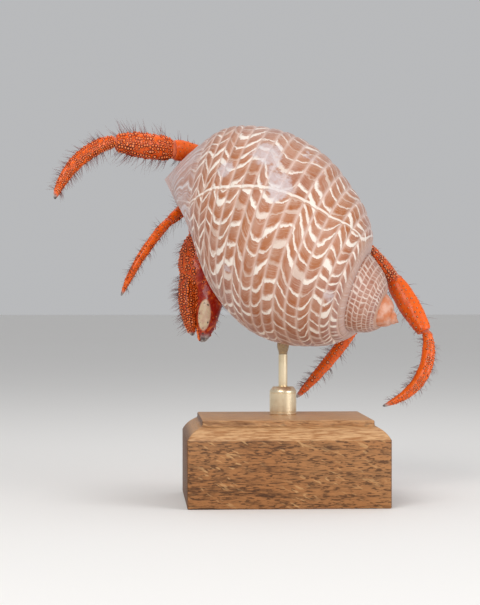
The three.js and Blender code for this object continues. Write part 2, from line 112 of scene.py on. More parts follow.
class StageSettings(bpy.types.PropertyGroup):
    floor: colour_prop("Floor", "Plain pale floor", "f1efec")
    key: FloatProperty(name="Key light", description="Power of the large light on the left",
                       unit="POWER", min=0, default=5.0)
    fill: FloatProperty(name="Fill light", description="Power of the light on the right",
                        unit="POWER", min=0, default=3.7)
    top: FloatProperty(name="Top light", description="Power of the light overhead",
                       unit="POWER", min=0, default=1.2)
    air: FloatProperty(name="Ambient", description="Strength of the even light all round",
                       min=0, default=0.52)
    seed: IntProperty(name="Seed", description="Seed of every random draw", default=11, min=0)


# ---------------------------------------------------------------- material helper

class Finish:
    """A Principled material with short calls for the nodes that feed it."""

    def __init__(self, name, **sockets):
        self.material = bpy.data.materials.new(name)
        self.material.use_nodes = True
        self.tree = self.material.node_tree
        self.shader = self.tree.nodes["Principled BSDF"]
        self.place = self.tree.nodes.new("ShaderNodeTexCoord").outputs["Object"]
        self.done(**sockets)

    def feed(self, socket, value):
        if isinstance(value, bpy.types.NodeSocket):
            self.tree.links.new(value, socket)
        elif hasattr(value, "__len__"):
            value = list(value)
            room = len(socket.default_value)
            socket.default_value = (value + [1.0])[:room] if len(value) < room else value[:room]
        else:
            socket.default_value = value

    def node(self, kind, inputs=(), **settings):
        made = self.tree.nodes.new(kind)
        for key, value in settings.items():
            setattr(made, key, value)
        for key, value in dict(inputs).items():
            self.feed(made.inputs[key], value)
        return made

    def math(self, operation, a, b=0.0, c=0.0, clamp=False):
        return self.node("ShaderNodeMath", {0: a, 1: b, 2: c},
                         operation=operation, use_clamp=clamp).outputs[0]

    def times(self, a, b, clamp=False):
        return self.math("MULTIPLY", a, b, clamp=clamp)

    def plus(self, a, b, clamp=False):
        return self.math("ADD", a, b, clamp=clamp)

    def minus(self, a, b):
        return self.math("SUBTRACT", a, b)

    def fused(self, a, b, c):
        """a times b, plus c."""
        return self.math("MULTIPLY_ADD", a, b, c)

    def step(self, value, low, high, rise=(0.0, 1.0)):
        return self.node("ShaderNodeMapRange", {"Value": value, "From Min": low, "From Max": high,
                                                "To Min": rise[0], "To Max": rise[1]},
                         interpolation_type="SMOOTHSTEP").outputs[0]

    def mix(self, amount, a, b, blend="MIX"):
        made = self.node("ShaderNodeMix", {0: amount}, data_type="RGBA", blend_type=blend)
        self.feed(made.inputs[6], a)
        self.feed(made.inputs[7], b)
        return made.outputs[2]

    def attribute(self, name):
        return self.node("ShaderNodeAttribute", attribute_name=name).outputs["Fac"]

    def stretched(self, scale, turn=(0, 0, 0), vector=None):
        return self.node("ShaderNodeMapping", {"Vector": vector or self.place, "Rotation": turn,
                                               "Scale": scale}).outputs[0]

    def noise(self, scale, detail=3.0, roughness=0.5, vector=None):
        return self.node("ShaderNodeTexNoise", {
            "Vector": vector or self.place, "Scale": scale, "Detail": detail,
            "Roughness": roughness}).outputs[0]

    def cells(self, scale, jitter=1.0):
        """Distance to the nearest of some scattered points."""
        return self.node("ShaderNodeTexVoronoi", {
            "Vector": self.place, "Scale": scale, "Randomness": jitter}).outputs["Distance"]

    def joined(self, x, y, z=0.0):
        return self.node("ShaderNodeCombineXYZ", {0: x, 1: y, 2: z}).outputs[0]

    def chance(self, vector):
        return self.node("ShaderNodeTexWhiteNoise", {"Vector": vector},
                         noise_dimensions="3D").outputs["Value"]

    def bump(self, height, distance, strength):
        return self.node("ShaderNodeBump", {"Height": height, "Distance": distance,
                                            "Strength": strength}).outputs[0]

    def done(self, **sockets):
        for key, value in sockets.items():
            self.feed(self.shader.inputs[key.replace("_", " ")], value)
        return self.material


# ---------------------------------------------------------------- mesh helpers

def clear_selection():
    if bpy.context.object and bpy.context.object.mode != "OBJECT":
        bpy.ops.object.mode_set(mode="OBJECT")
    bpy.ops.object.select_all(action="DESELECT")


@contextmanager
def editing():
    """Edit mode for the active piece, and object mode again after it."""
    bpy.ops.object.mode_set(mode="EDIT")
    yield
    bpy.ops.object.mode_set(mode="OBJECT")


def make_active(piece):
    clear_selection()
    piece.select_set(True)
    bpy.context.view_layer.objects.active = piece


def apply_modifier(piece, kind, **settings):
    make_active(piece)
    made = piece.modifiers.new(kind.title(), kind)
    for key, value in settings.items():
        setattr(made, key, value)
    bpy.ops.object.modifier_apply(modifier=made.name)


def close_up(piece, angle=None):
    """Merge doubles, turn the faces outward and shade the piece smooth."""
    make_active(piece)
    bpy.ops.object.transform_apply(location=True, rotation=True, scale=True)
    with editing():
        bpy.ops.mesh.select_all(action="SELECT")
        bpy.ops.mesh.remove_doubles(threshold=1e-7)
        bpy.ops.mesh.normals_make_consistent(inside=False)
    if angle is None:
        bpy.ops.object.shade_smooth()
    else:
        bpy.ops.object.shade_smooth_by_angle(angle=math.radians(angle))


def settle(piece, materials, slot, *nodes):
    """Give a finished piece its materials and hide the nodes it stands for; the slot is not used.
    """
    piece.data.materials.clear()
    for one in materials if isinstance(materials, tuple) else (materials,):
        piece.data.materials.append(one)
    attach(piece, "root")
    if nodes:
        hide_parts(*nodes)


def mesh_piece(name, points, faces):
    """A piece from arrays of points in metres and of faces."""
    data = bpy.data.meshes.new(name)
    data.from_pydata(np.asarray(points).tolist(), [], [list(map(int, f)) for f in faces])
    data.update()
    piece = bpy.data.objects.new(name, data)
    bpy.context.scene.collection.objects.link(piece)
    return piece


def paint(piece, **layers):
    """Store a number for each point, or one for all of them, under each attribute's name."""
    for name, values in layers.items():
        values = np.broadcast_to(values, len(piece.data.vertices))
        layer = piece.data.attributes.new(name, "FLOAT", "POINT")
        layer.data.foreach_set("value", np.ascontiguousarray(values, np.float32))


def added(name):
    """The piece that was just added, under its name."""
    piece = bpy.context.object
    piece.name = piece.data.name = name
    return piece


def extrude_through(rings):
    """Extrude the selected face from ring to ring: each is x, y, z and its two widths, in mm."""
    for (x0, y0, z0, a0, b0), (x1, y1, z1, a1, b1) in zip(rings, rings[1:]):
        bpy.ops.mesh.extrude_region_move(TRANSFORM_OT_translate={
            "value": ((x1 - x0) * MM, (y1 - y0) * MM, (z1 - z0) * MM)})
        bpy.ops.transform.resize(value=(a1 / a0, b1 / b0, 1),
                                 center_override=(x1 * MM, y1 * MM, z1 * MM))


def in_metres(matrix):
    """A matrix in millimetres as one for a mesh in metres."""
    return Matrix.Scale(MM, 4) @ matrix @ Matrix.Scale(1 / MM, 4)


def points_of(piece):
    flat = np.zeros(len(piece.data.vertices) * 3)
    piece.data.vertices.foreach_get("co", flat)
    return flat.reshape(-1, 3)


def move_points(piece, points):
    piece.data.vertices.foreach_set("co", np.asarray(points, np.float32).ravel())
    piece.data.update()


def cad_copy(name, *nodes):
    """The merged mesh of some CAD nodes in a new piece."""
    copies = []
    for node in nodes:
        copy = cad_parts[node].copy()
        copy.data = copy.data.copy()
        copy.parent = None
        for key in list(copy.keys()):
            del copy[key]
        bpy.context.scene.collection.objects.link(copy)
        copies.append(copy)
    make_active(copies[0])
    for copy in copies:
        copy.hide_viewport = copy.hide_render = False
        copy.select_set(True)
    if len(copies) > 1:
        bpy.ops.object.join()
    copies[0].name = name
    with editing():
        bpy.ops.mesh.select_all(action="SELECT")
        bpy.ops.mesh.remove_doubles(threshold=1e-6)
    return copies[0]


def smoothstep(x, low, high):
    t = np.clip((np.asarray(x, float) - low) / (high - low), 0, 1)
    return t * t * (3 - 2 * t)


# ---------------------------------------------------------------- the shell's law of growth

APEX = np.array([52.2, -8.0, 81.3])
DIP, TOWARD = math.radians(28.7), math.radians(19.7)
GROWTH, LIP, TURNS = 2.4, 125.0, 3.75
NOTCH, WALL, PILLAR = 13.0, 1.7, 3.6
# distance along the axis and radius, from the suture to the foot, for the whorl at 90 degrees
PROFILE = np.array([
    (27.8, 21.7), (31, 30), (40.2, 39.2), (50.9, 45.4), (63.3, 51.1), (76, 54.1), (89, 54.5),
    (101.9, 51.7), (113.6, 46.5), (120.4, 40.5), (125.4, 31.8), (129, 24), (131.5, 16.2),
    (131.9, 9.6)])
COVERED = 66.8
FOOT_SHIFT = np.array([(-180, 0), (-90, 1), (-45, 6), (0, 11.6), (40, 8.2), (80, 1.4), (125, -8.6)])
ROOM = (82.0, 31.0)
ROOM_SPAN = 235.0
# one row a cord: where its upper groove lies on the profile, how far the white line is set
# back or forward there in degrees, and how far the line bows back inside the cord
CORDS = np.array([
    (0.000, -2, 0), (0.040, -3, 0), (0.085, 5, 3), (0.132, -5, 0), (0.180, 1, 4),
    (0.235, -11, 1.5), (0.288, -6, 0), (0.342, 4, 0.8), (0.393, -1, 3), (0.443, -9, 3),
    (0.497, -6, 1), (0.540, 3, 1.5), (0.588, 1, 3), (0.635, -11, 3), (0.675, -10, 0),
    (0.703, 0, 2), (0.735, -11, 0), (0.770, -3, 1), (0.803, -12, 1), (0.838, -8, 0),
    (0.875, -14, 0), (0.915, -16, 0), (0.957, -18, 0), (1.0, -20, 0)])
LINE_SPACING = 10.4
# worn patches: degrees, place on the profile, reach in degrees, reach on the profile, strength
WEAR = [(34, 0.45, 8, 0.045, 1.0), (51, 0.54, 10, 0.05, 0.9), (33, 0.675, 5, 0.03, 0.9),
        (-12, 0.115, 5, 0.03, 0.7), (-25, 0.56, 4, 0.05, 0.55), (42, 0.50, 8, 0.03, 0.6),
        (-38, 0.53, 3, 0.02, 0.5), (66, 0.40, 12, 0.1, 0.35)]
# an old growth edge: degrees at places on the profile
SCAR = np.array([(0.10, 54), (0.22, 40), (0.36, 34), (0.48, 29), (0.54, 26), (0.66, 19.5),
                 (0.70, 17), (0.80, 3)])


def shell_axes():
    along = np.array([math.cos(DIP), 0, -math.sin(DIP)])
    front = np.array([0.0, -1, 0])
    axis = along * math.cos(TOWARD) + front * math.sin(TOWARD)
    near = front * math.cos(TOWARD) - along * math.sin(TOWARD)
    over = np.array([math.sin(DIP), 0, math.cos(DIP)])
    return near, over, -axis


NEAR, OVER, BACK = shell_axes()


def fine_profile(count=3000):
    """The profile as an even spline through its points, by length."""
    last = len(PROFILE) - 1
    out = []
    for q in np.linspace(0, last, count):
        i = min(int(q), last - 1)
        w = q - i
        p0, p1 = PROFILE[max(i - 1, 0)], PROFILE[i]
        p2, p3 = PROFILE[i + 1], PROFILE[min(i + 2, last)]
        a, b = (p2 - p0) / 2, (p3 - p1) / 2
        out.append((2 * p1 - 2 * p2 + a + b) * w ** 3 + (-3 * p1 + 3 * p2 - 2 * a - b) * w * w
                   + a * w + p1)
    out = np.array(out)
    run = np.r_[0, np.cumsum(np.linalg.norm(np.diff(out, axis=0), axis=1))]
    return out, run / run[-1]


FINE, RUN = fine_profile()
COVERED_AT = float(np.interp(COVERED, FINE[:, 0], RUN))


def scale_at(deg):
    return GROWTH ** ((np.asarray(deg, float) - 90) / 360)


def cord_at(f):
    """Place on the profile counted in cords, whole numbers lying in the grooves."""
    return np.interp(f, CORDS[:, 0], np.arange(len(CORDS)))


def section(deg, f, depth=0.0):
    """Axis distance and radius of the shell's surface, with its cords cut `depth` deep."""
    k = scale_at(deg)
    z, r = np.interp(f, RUN, FINE[:, 0]), np.interp(f, RUN, FINE[:, 1])
    e = 0.004
    dz = np.interp(f + e, RUN, FINE[:, 0]) - np.interp(f - e, RUN, FINE[:, 0])
    dr = np.interp(f + e, RUN, FINE[:, 1]) - np.interp(f - e, RUN, FINE[:, 1])
    size = np.hypot(dz, dr) + 1e-9
    y = np.mod(cord_at(f), 1.0)
    shape = 0.35 - np.abs(2 * y - 1) ** 4
    calm = 1 - smoothstep(f, 0.78, 0.93)
    young = 0.25 + 0.75 * smoothstep(deg, -820, -420)
    lift = depth * shape * calm * young
    z = z - dr / size * lift
    r = r + dz / size * lift
    shift = np.interp(deg, FOOT_SHIFT[:, 0], FOOT_SHIFT[:, 1])
    return z * k + shift * smoothstep(f, 0.6, 1), r * k


def turned(deg, z, r):
    a = np.radians(deg)
    z, r, a = np.broadcast_arrays(z, r, a)
    return (APEX + NEAR * (r * np.cos(a))[..., None] + OVER * (r * np.sin(a))[..., None]
            + BACK * z[..., None])


def shell_markings(deg, f):
    """Growth phase, wear and paleness at points of the outer surface."""
    cord = cord_at(f)
    i = np.clip(cord.astype(int), 0, len(CORDS) - 2)
    y = cord - i
    calm = 0.25 + 0.75 * smoothstep(deg, -230, -150)
    zig = CORDS[i, 1] * (1 - y) + CORDS[i + 1, 1] * y - CORDS[i, 2] * 4 * y * (1 - y)
    drift = np.array([
        0.62 * noise.noise(Vector((d / 31, c * 0.42, 3.1)))
        + 0.24 * noise.noise(Vector((d / 13, c * 1.1, 8.7)))
        + 0.20 * noise.noise(Vector((d / 16, math.floor(c) * 7.3, 1.7)))
        for d, c in zip(deg, cord)])
    phase = (deg - zig * calm) / (LINE_SPACING * (0.8 + 0.2 * calm)) + drift
    wear = np.zeros_like(phase)
    for d0, f0, dr, fr, strength in WEAR:
        reach = ((deg - d0) / (1.25 * dr)) ** 2 + ((f - f0) / (1.25 * fr)) ** 2
        wear = np.maximum(wear, strength * np.exp(-reach))
    scar = np.interp(f, SCAR[:, 0], SCAR[:, 1])
    scar = (deg - scar) * smoothstep(f, 0.05, 0.12)
    pale = np.maximum(smoothstep(f, 0.74, 0.86), 0.7 * smoothstep(deg, 62, 110))
    pale = np.maximum(pale, 0.45 * (1 - smoothstep(f, 0.02, 0.07)) * smoothstep(deg, -260, -200))
    pale = np.maximum(pale, smoothstep(deg, 112, 117))
    return cord, phase, wear, scar, pale


def inside(outline, points):
    """Which points lie within a closed outline, told by how often they meet its sides."""
    b0, b1 = outline, np.roll(outline, 1, 0)
    across, up = points[:, None, 0], points[:, None, 1]
    over = (b0[:, 1] > up) != (b1[:, 1] > up)
    rise = b1[:, 1] - b0[:, 1] + 1e-12
    cut = (b1[:, 0] - b0[:, 0]) * (up - b0[:, 1]) / rise + b0[:, 0]
    return (over & (across < cut)).sum(1) % 2 == 1


def room_rings(lip_wall, step=5.0, sides=40):
    """Rings of the hollow inside the last whorl, from its inner end to the lip."""
    rings, degs = [], np.arange(LIP - ROOM_SPAN, LIP + 0.1, step)
    f = np.linspace(0, 1, 90)
    reach = np.arange(0, 62, 0.25)
    for deg in degs:
        k = float(scale_at(deg))
        wall = float(np.interp(deg, [LIP - 14, LIP], [WALL, lip_wall]))
        outlines = [np.stack(section(np.full_like(f, d), f), 1) for d in (deg, deg - 360)]
        centre = np.array([ROOM[0] * k + 0.25 * np.interp(deg, *FOOT_SHIFT.T), ROOM[1] * k])
        ring = []
        for a in np.linspace(0, 2 * math.pi, sides, endpoint=False):
            p = centre + reach[:, None] * np.array([math.cos(a), math.sin(a)])
            free = p[:, 1] > PILLAR * k
            for outline, keep_in, clear in ((outlines[0], True, wall),
                                            (outlines[1], False, 0.6 * WALL)):
                a0, a1 = outline[:-1], outline[1:]
                e = a1 - a0
                t = np.clip(((p[:, None] - a0) * e).sum(2) / (e ** 2).sum(1), 0, 1)
                gap = np.linalg.norm(p[:, None] - a0 - t[..., None] * e, axis=2).min(1)
                poly = np.vstack([outline, [outline[-1][0], -1], [outline[0][0], -1]])
                free &= (inside(poly, p) == keep_in) & (gap > clear)
            stop = np.argmin(free) if not free.all() else len(reach) - 1
            ring.append(centre + reach[max(stop - 1, 0)] * np.array([math.cos(a), math.sin(a)]))
        ring = np.array(ring)
        for _ in range(2):
            ring = 0.5 * ring + 0.25 * (np.roll(ring, 1, 0) + np.roll(ring, -1, 0))
        rings.append(ring)
    return degs, np.array(rings)


def shell_mesh(groove_depth, lip_wall):
    """Points, faces, a lining flag for each face and the markings of the whole shell."""
    per_turn = 144
    rows = int(TURNS * per_turn)
    opening = rows - per_turn
    degs = LIP - (rows - np.arange(rows + 1)) * (360 / per_turn)
    fractions = []
    for c in range(len(CORDS) - 1):
        count = 9 if c < 18 else 5
        f0, f1 = CORDS[c, 0], CORDS[c + 1, 0]
        crowded = 0.5 - 0.5 * np.cos(np.pi * np.arange(count) / count)
        fractions += [f0 + (f1 - f0) * t for t in crowded * 0.45 + 0.55 * np.arange(count) / count]
    fractions = np.array(fractions + [1.0])
    covered = int(np.argmin(abs(fractions - COVERED_AT)))
    fractions[covered] = COVERED_AT
    columns = len(fractions) - 1
    points, faces, lining, deg_of, f_of = [], [], [], [], []
    index = -np.ones((rows + 1, columns + 2), int)

    def add(deg, z, r, f):
        points.append(turned(deg, np.float64(z), np.float64(r)))
        deg_of.append(deg)
        f_of.append(f)
        return len(points) - 1

    for i in range(rows, -1, -1):
        deg = degs[i]
        wide = columns if i >= opening else covered
        z, r = section(np.full(columns + 1, deg), fractions, groove_depth / MM)
        for j in range(wide + 1):
            if j == 0 and i - per_turn >= 0:
                continue
            index[i, j] = add(deg, z[j], r[j], fractions[j])
        if i >= opening:
            index[i, columns + 1] = add(deg, z[columns] - NOTCH * scale_at(deg), 0, 1.0)
    for i in range(per_turn, rows + 1):
        index[i, 0] = index[i - per_turn, covered]
    for i in range(rows):
        end = columns if i >= opening else covered
        for j in range(end):
            faces.append((index[i, j], index[i + 1, j], index[i + 1, j + 1], index[i, j + 1]))
        if i >= opening:
            faces.append((index[i, columns], index[i + 1, columns], index[i + 1, columns + 1],
                          index[i, columns + 1]))
    tip = add(degs[0], 0, 0, 0.0)
    for i in range(per_turn):
        faces.append((tip, index[i + 1, 0], index[i, 0]))
    for j in range(covered):
        faces.append((tip, index[0, j], index[0, j + 1]))
    lining += [0] * len(faces)

    # the hollow, closed at its inner end and opening at the lip
    ring_degs, rings = room_rings(lip_wall / MM)
    fine_degs = np.linspace(ring_degs[0], ring_degs[-1], 2 * len(ring_degs) - 1)
    flat = rings.reshape(len(rings), -1)
    fine_rings = np.stack([np.interp(fine_degs, ring_degs, column) for column in flat.T], 1)
    fine_rings = fine_rings.reshape(len(fine_degs), -1, 2)
    sides = fine_rings.shape[1]
    hollow = np.array([[add(d, p[0], p[1], 0.5) for p in ring]
                       for d, ring in zip(fine_degs, fine_rings)])
    for i in range(len(fine_degs) - 1):
        for j in range(sides):
            faces.append((hollow[i, j], hollow[i, (j + 1) % sides], hollow[i + 1, (j + 1) % sides],
                          hollow[i + 1, j]))
    middle = fine_rings[0].mean(0)
    end = add(fine_degs[0] - 3, middle[0], middle[1], 0.5)
    for j in range(sides):
        faces.append((end, hollow[0, (j + 1) % sides], hollow[0, j]))
    lining += [1] * (len(faces) - len(lining))

    # the lip: the band between the outline of the last section and the hollow
    outer = [index[rows, j] for j in range(columns + 2)]
    core = [index[i, columns + 1] for i in range(rows - 1, opening, -1)]
    inner = [index[opening, j] for j in range(columns + 1, covered, -1)]
    loop = outer + core + inner
    mouth = list(hollow[-1])
    local = []
    for v in loop + mouth:
        q = points[v] - APEX
        local.append(Vector((float(q @ BACK), float(math.hypot(q @ NEAR, q @ OVER)))))
    n, m = len(loop), len(mouth)
    edges = [(a, (a + 1) % n) for a in range(n)] + [(n + a, n + (a + 1) % m) for a in range(m)]
    made = geometry.delaunay_2d_cdt(local, edges, [], 1, 1e-7)
    ids = [(loop + mouth)[was[0]] if was else add(LIP, at[0], at[1], 0.5)
           for at, was in zip(made[0], made[3])]
    hole = np.array([local[n + a][:] for a in range(m)])
    for tri in made[2]:
        c = np.mean([made[0][v][:] for v in tri], axis=0)
        if inside(hole, c[None])[0]:
            continue
        faces.append(tuple(ids[v] for v in tri))
        lining.append(1)
    return np.array(points) * MM, faces, np.array(lining), np.array(deg_of), np.array(f_of)


# ---------------------------------------------------------------- the crab's frame and limbs

BODY_AT = Vector((-3, 55, 134))
FORWARD = Vector((-0.05, 0.8, -0.6)).normalized()
UP = Vector((0, 0.6, 0.8))
UP = (UP - FORWARD * UP.dot(FORWARD)).normalized()
RIGHT = FORWARD.cross(UP)
BODY = Matrix((
    (RIGHT.x, FORWARD.x, UP.x, BODY_AT.x), (RIGHT.y, FORWARD.y, UP.y, BODY_AT.y),
    (RIGHT.z, FORWARD.z, UP.z, BODY_AT.z), (0, 0, 0, 1)))

# each segment: azimuth, elevation and length; bow is the last segment's, broad and toe are factors
# of depth for the legs' segments and their last one, and size is the claw's
LIMBS = {
    "leg3_left": dict(root=(-6.5, -6, -3.5), hip=(178, 18, 9), merus=(126, 43, 36),
                      carpus=(-143, 5, 21), propodus=(-158, 5, 30), dactyl=(-156, -42.5, 42),
                      wrist=(0, 0, 1), bow=5.5, broad=1.2, toe=1.45),
    "leg2_left": dict(root=(-6.5, 1.5, -5), hip=(153, 7, 9), merus=(100, 29, 36),
                      carpus=(-119, -8, 21), propodus=(-137, -33, 30), dactyl=(-156, -55, 44),
                      bow=4, broad=0.75, toe=1.0),
    "leg3_right": dict(root=(6.5, -6.5, -3), hip=(-4, -27, 9), merus=(6, -23, 36.8),
                       carpus=(-7, -53, 21), propodus=(-39, -55, 30.5), dactyl=(-161, -56, 42),
                       bow=9, broad=1.05, toe=1.38),
    "leg2_right": dict(root=(6.5, 2, -5.5), hip=(-4, -41, 9), merus=(52, 4, 36.6),
                       carpus=(21, -61, 21), propodus=(-102, -77, 31), dactyl=(-169, -49, 45),
                       bow=1, broad=0.9, toe=1.24),
    "claw_left": dict(root=(-4.8, 9, -4.5), hip=(173, -73, 8), merus=(124, -1, 21),
                      carpus=(179, 33, 15), palm=(-93, -70, 57.8), across=(1, -0.1, 0), size=1.0),
    "claw_right": dict(root=(4.8, 9, -4.5), hip=(-1, -73, 7), merus=(71, -29, 17),
                       carpus=(-149, -25, 12), palm=(-117, -46, 35), across=(-1, 0.3, 0),
                       size=0.62),
}
# depth in the plane of flexion and thickness across it
LEG_SIZE = {"merus": (9.5, 6), "carpus": (8.8, 6.6), "propodus": (10.2, 7), "dactyl": (4.8, 4.4)}
PALM_SHARE = 0.76    # of a claw's length from wrist to tip
FINGER_FROM = 0.38   # where both fingers start, as a share of the same length
PLATE_LAP = 1.2      # how far a plate starts before its joint
# the cream patch on the large claw: middle, half widths, and the half widths without tubercles
PATCH_X, PATCH_Z = 2.2, 45.5
PATCH, PATCH_CLEAR = (3.3, 8.0), (4.4, 9.2)
# how red a limb's crust is, and how pale its tubercles' caps are
REDNESS = {"leg3_left": 0.2, "leg3_right": 0.14, "leg2_left": 0.3, "leg2_right": 0.26,
           "claw_left": 0.4, "claw_right": 0.5}
CAP_GLOW = {"leg3_left": 0.16, "leg3_right": 0.6, "leg2_left": 0.35, "leg2_right": 0.65,
            "claw_left": 0.02, "claw_right": 0.1}
# place along the segment, and girth there; the last rings turn in to the joint's membrane
FORMS = {
    "merus": [(0, 0.42), (0.04, 0.55), (0.12, 0.68), (0.3, 0.83), (0.6, 1), (0.82, 1.02),
              (0.93, 0.93), (0.975, 0.86), (0.992, 0.74), (0.975, 0.52)],
    "carpus": [(0, 0.38), (0.05, 0.52), (0.13, 0.68), (0.35, 0.88), (0.65, 1.02), (0.86, 1.04),
               (0.95, 0.95), (0.99, 0.8), (0.975, 0.56)],
    "propodus": [(0, 0.6), (0.035, 0.77), (0.09, 0.88), (0.2, 0.97), (0.36, 1.02), (0.55, 1.02),
                 (0.78, 0.89), (0.91, 0.75), (0.965, 0.69), (0.992, 0.6), (0.975, 0.43)],
    "dactyl": [(0, 0.76), (0.025, 0.93), (0.07, 1.0), (0.16, 1.03), (0.3, 1.03), (0.45, 0.98),
               (0.6, 0.9), (0.73, 0.8), (0.84, 0.66), (0.92, 0.5), (0.97, 0.34), (0.995, 0.16)],
    "palm": [(0, 0.34), (0.04, 0.46), (0.1, 0.63), (0.18, 0.84), (0.3, 0.99), (0.42, 1.03),
             (0.53, 0.98), (0.62, 0.86), (0.68, 0.66), (0.7, 0.5)],
    "finger": [(0, 0.5), (0.05, 0.74), (0.13, 0.92), (0.3, 1.02), (0.45, 0.99), (0.6, 0.87),
               (0.74, 0.7), (0.86, 0.5), (0.94, 0.33), (0.985, 0.18)],
}


def heading(azimuth, elevation):
    a, e = math.radians(azimuth), math.radians(elevation)
    return Vector((math.cos(a) * math.cos(e), math.sin(a) * math.cos(e), math.sin(e)))


def seat(origin, direction, deep):
    """A frame at origin with +Z along the direction and +X as near as may be to deep."""
    z = direction.normalized()
    x = (deep - z * deep.dot(z)).normalized()
    y = z.cross(x)
    return Matrix(((x.x, y.x, z.x, origin.x), (x.y, y.y, z.y, origin.y), (x.z, y.z, z.z, origin.z),
                   (0, 0, 0, 1)))


def limb_segments(limb):
    """Kind, frame, length, depth, thickness and bow of each segment of a limb."""
    plan = LIMBS[limb]
    claw = "palm" in plan
    kinds = ["merus", "carpus", "palm"] if claw else ["merus", "carpus", "propodus", "dactyl"]
    joint = BODY @ Vector(plan["root"])
    joint = joint + heading(*plan["hip"][:2]) * plan["hip"][2]
    heads = [heading(*plan[k][:2]) for k in kinds]
    out = []
    for i, kind in enumerate(kinds):
        after = heads[i + 1] if i + 1 < len(heads) else -heads[i - 1]
        deep = heads[i] * after.dot(heads[i]) - after
        deep = Vector(plan.get({"palm": "across", "carpus": "wrist"}.get(kind), deep))
        length = plan[kind][2]
        if claw and kind == "palm":
            k = plan["size"]
            size = (PALM_SHARE * length, 22 * k, 14 * k, 0)
        elif claw:
            k = plan["size"] ** 0.8
            size = (length - 1, (10 if kind == "merus" else 11) * k, 8.5 * k, 0)
        else:
            broad = plan["toe"] if kind == "dactyl" else plan["broad"]
            depth, thick = LEG_SIZE[kind]
            size = (length - (0.5 if kind == "dactyl" else 1), depth * broad,
                    thick * min(1, broad + 0.1), plan["bow"] if kind == "dactyl" else 0)
        out.append((kind, seat(joint, heads[i], deep)) + size)
        joint = joint + heads[i] * length
    return out


def extruded(name, rings):
    """A closed plate extruded ring by ring: each ring is x, z, half depth and half thickness."""
    clear_selection()
    x, z, a, b = rings[0]
    at = (x * MM, 0, z * MM)
    bpy.ops.mesh.primitive_circle_add(vertices=16, radius=MM, fill_type="NGON", location=at)
    piece = added(name)
    with editing():
        bpy.ops.transform.resize(value=(a, b, 1), center_override=at)
        extrude_through([(x, 0, z, a, b) for x, z, a, b in rings])
    close_up(piece)
    apply_modifier(piece, "SUBSURF", levels=2, render_levels=2)
    return piece


def plate_rings(kind, length, depth, thick, bow):
    rings = []
    for t, k in FORMS[kind]:
        z = -PLATE_LAP + (length + PLATE_LAP) * t
        rings.append((bow * 4 * t * (1 - t), z, depth / 2 * k, thick / 2 * k))
    return rings


def whole_length(kind, length):
    """A segment's length, with the fixed finger where it is a palm."""
    return length / PALM_SHARE if kind == "palm" else length


def roughened(piece, amount, size, seed):
    """Push the surface gently in and out along its normals."""
    piece.data.update()
    points = points_of(piece)
    normals = np.zeros_like(points).ravel()
    piece.data.vertices.foreach_get("normal", normals)
    normals = normals.reshape(-1, 3)
    shift = Vector((seed, seed, seed))
    push = np.array([noise.noise(Vector(p / (size * MM)) + shift) for p in points])
    move_points(piece, points + normals * (push * amount * MM)[:, None])


def redness_and_painted_shade(limb, kind, t, side):
    """How red the crust is, 0 to 1; side is -1 on the inner edge and 1 on the outer. On legs and
    fingers the inner edge, and on legs both ends, are made redder as painted shade.
    """
    if kind == "palm":
        return 0.38 + 0.62 * smoothstep(side, -0.45, 0.1)
    if kind == "finger":
        # painted shade: the finger is redder towards its inner edge
        return REDNESS[limb] + 0.05 - 0.2 * side
    # painted shade: redder towards the inner edge and towards both joints
    return np.clip(REDNESS[limb] - 0.32 * side + 0.15 * np.abs(t - 0.5), 0, 1)


def build_plate(limb, number, kind, frame_at, length, depth, thick, bow):
    """One crust plate, with its tone, horny tip and cream patch stored on its points."""
    name = f"{limb}_{kind}_plate"
    piece = extruded(name, plate_rings(kind, length, depth, thick, bow))
    if kind == "palm":
        k, whole = LIMBS[limb]["size"], whole_length(kind, length)
        fixed = extruded(name + "_fixed",
                         plate_rings("finger", 0.64 * whole, 14.5 * k, 11 * k, 1.5 * k))
        fixed.data.transform(Matrix.Translation((3.6 * k * MM, 0, FINGER_FROM * whole * MM))
                             @ Matrix.Rotation(math.radians(-4), 4, "Y"))
        apply_modifier(piece, "BOOLEAN", operation="UNION", solver="EXACT", object=fixed)
        bpy.data.objects.remove(fixed)
        apply_modifier(piece, "REMESH", mode="VOXEL", voxel_size=0.42 * k * MM)
        apply_modifier(piece, "SMOOTH", factor=0.6, iterations=7)
    roughened(piece, 0.22, 3.4, 3 + number + 7 * list(LIMBS).index(limb))
    local = points_of(piece) / MM
    t = local[:, 2] / local[:, 2].max()
    side = np.clip(local[:, 0] / (depth / 2), -1, 1)
    tip = smoothstep(t, 0.925, 0.985) if kind in ("dactyl", "finger", "palm") else 0
    cream, rim = cream_patch(local) if (limb, kind) == ("claw_left", "palm") else (0, 0)
    paint(piece, tone=redness_and_painted_shade(limb, kind, t, side), tip=tip, cream=cream, rim=rim, spot=0)
    piece.data.transform(in_metres(frame_at))
    piece.data.update()
    bpy.ops.object.shade_smooth()
    return piece


def cream_patch(local):
    """The cream oval on the inner face of the large claw, and the dotted rim round it."""
    up = local[:, 2] - PATCH_Z
    oval = np.hypot(up / PATCH[1], (local[:, 0] - PATCH_X + 0.06 * up) / PATCH[0])
    front = smoothstep(local[:, 1], 0, 1.5)
    return (1 - smoothstep(oval, 0.86, 1.0)) * front, front * np.exp(-((oval - 0.93) / 0.26) ** 2)


def finger_plate(limb):
    """The movable finger, hinged on the palm's outer side."""
    plan = LIMBS[limb]
    k, whole = plan["size"], plan["palm"][2]
    frame_at = limb_segments(limb)[-1][1]
    turn = (frame_at @ Matrix.Translation((-5.6 * k, 0, FINGER_FROM * whole))
            @ Matrix.Rotation(math.radians(3.5), 4, "Y"))
    return ("finger", turn, 0.58 * whole, 9 * k, 10.5 * k, -1.6 * k)


def all_plates():
    """Every plate of every limb, as limb, place in the limb, and the plate's build values."""
    for limb in LIMBS:
        parts = limb_segments(limb)
        if limb.startswith("claw"):
            parts.append(finger_plate(limb))
        for number, part in enumerate(parts):
            yield (limb, number) + part


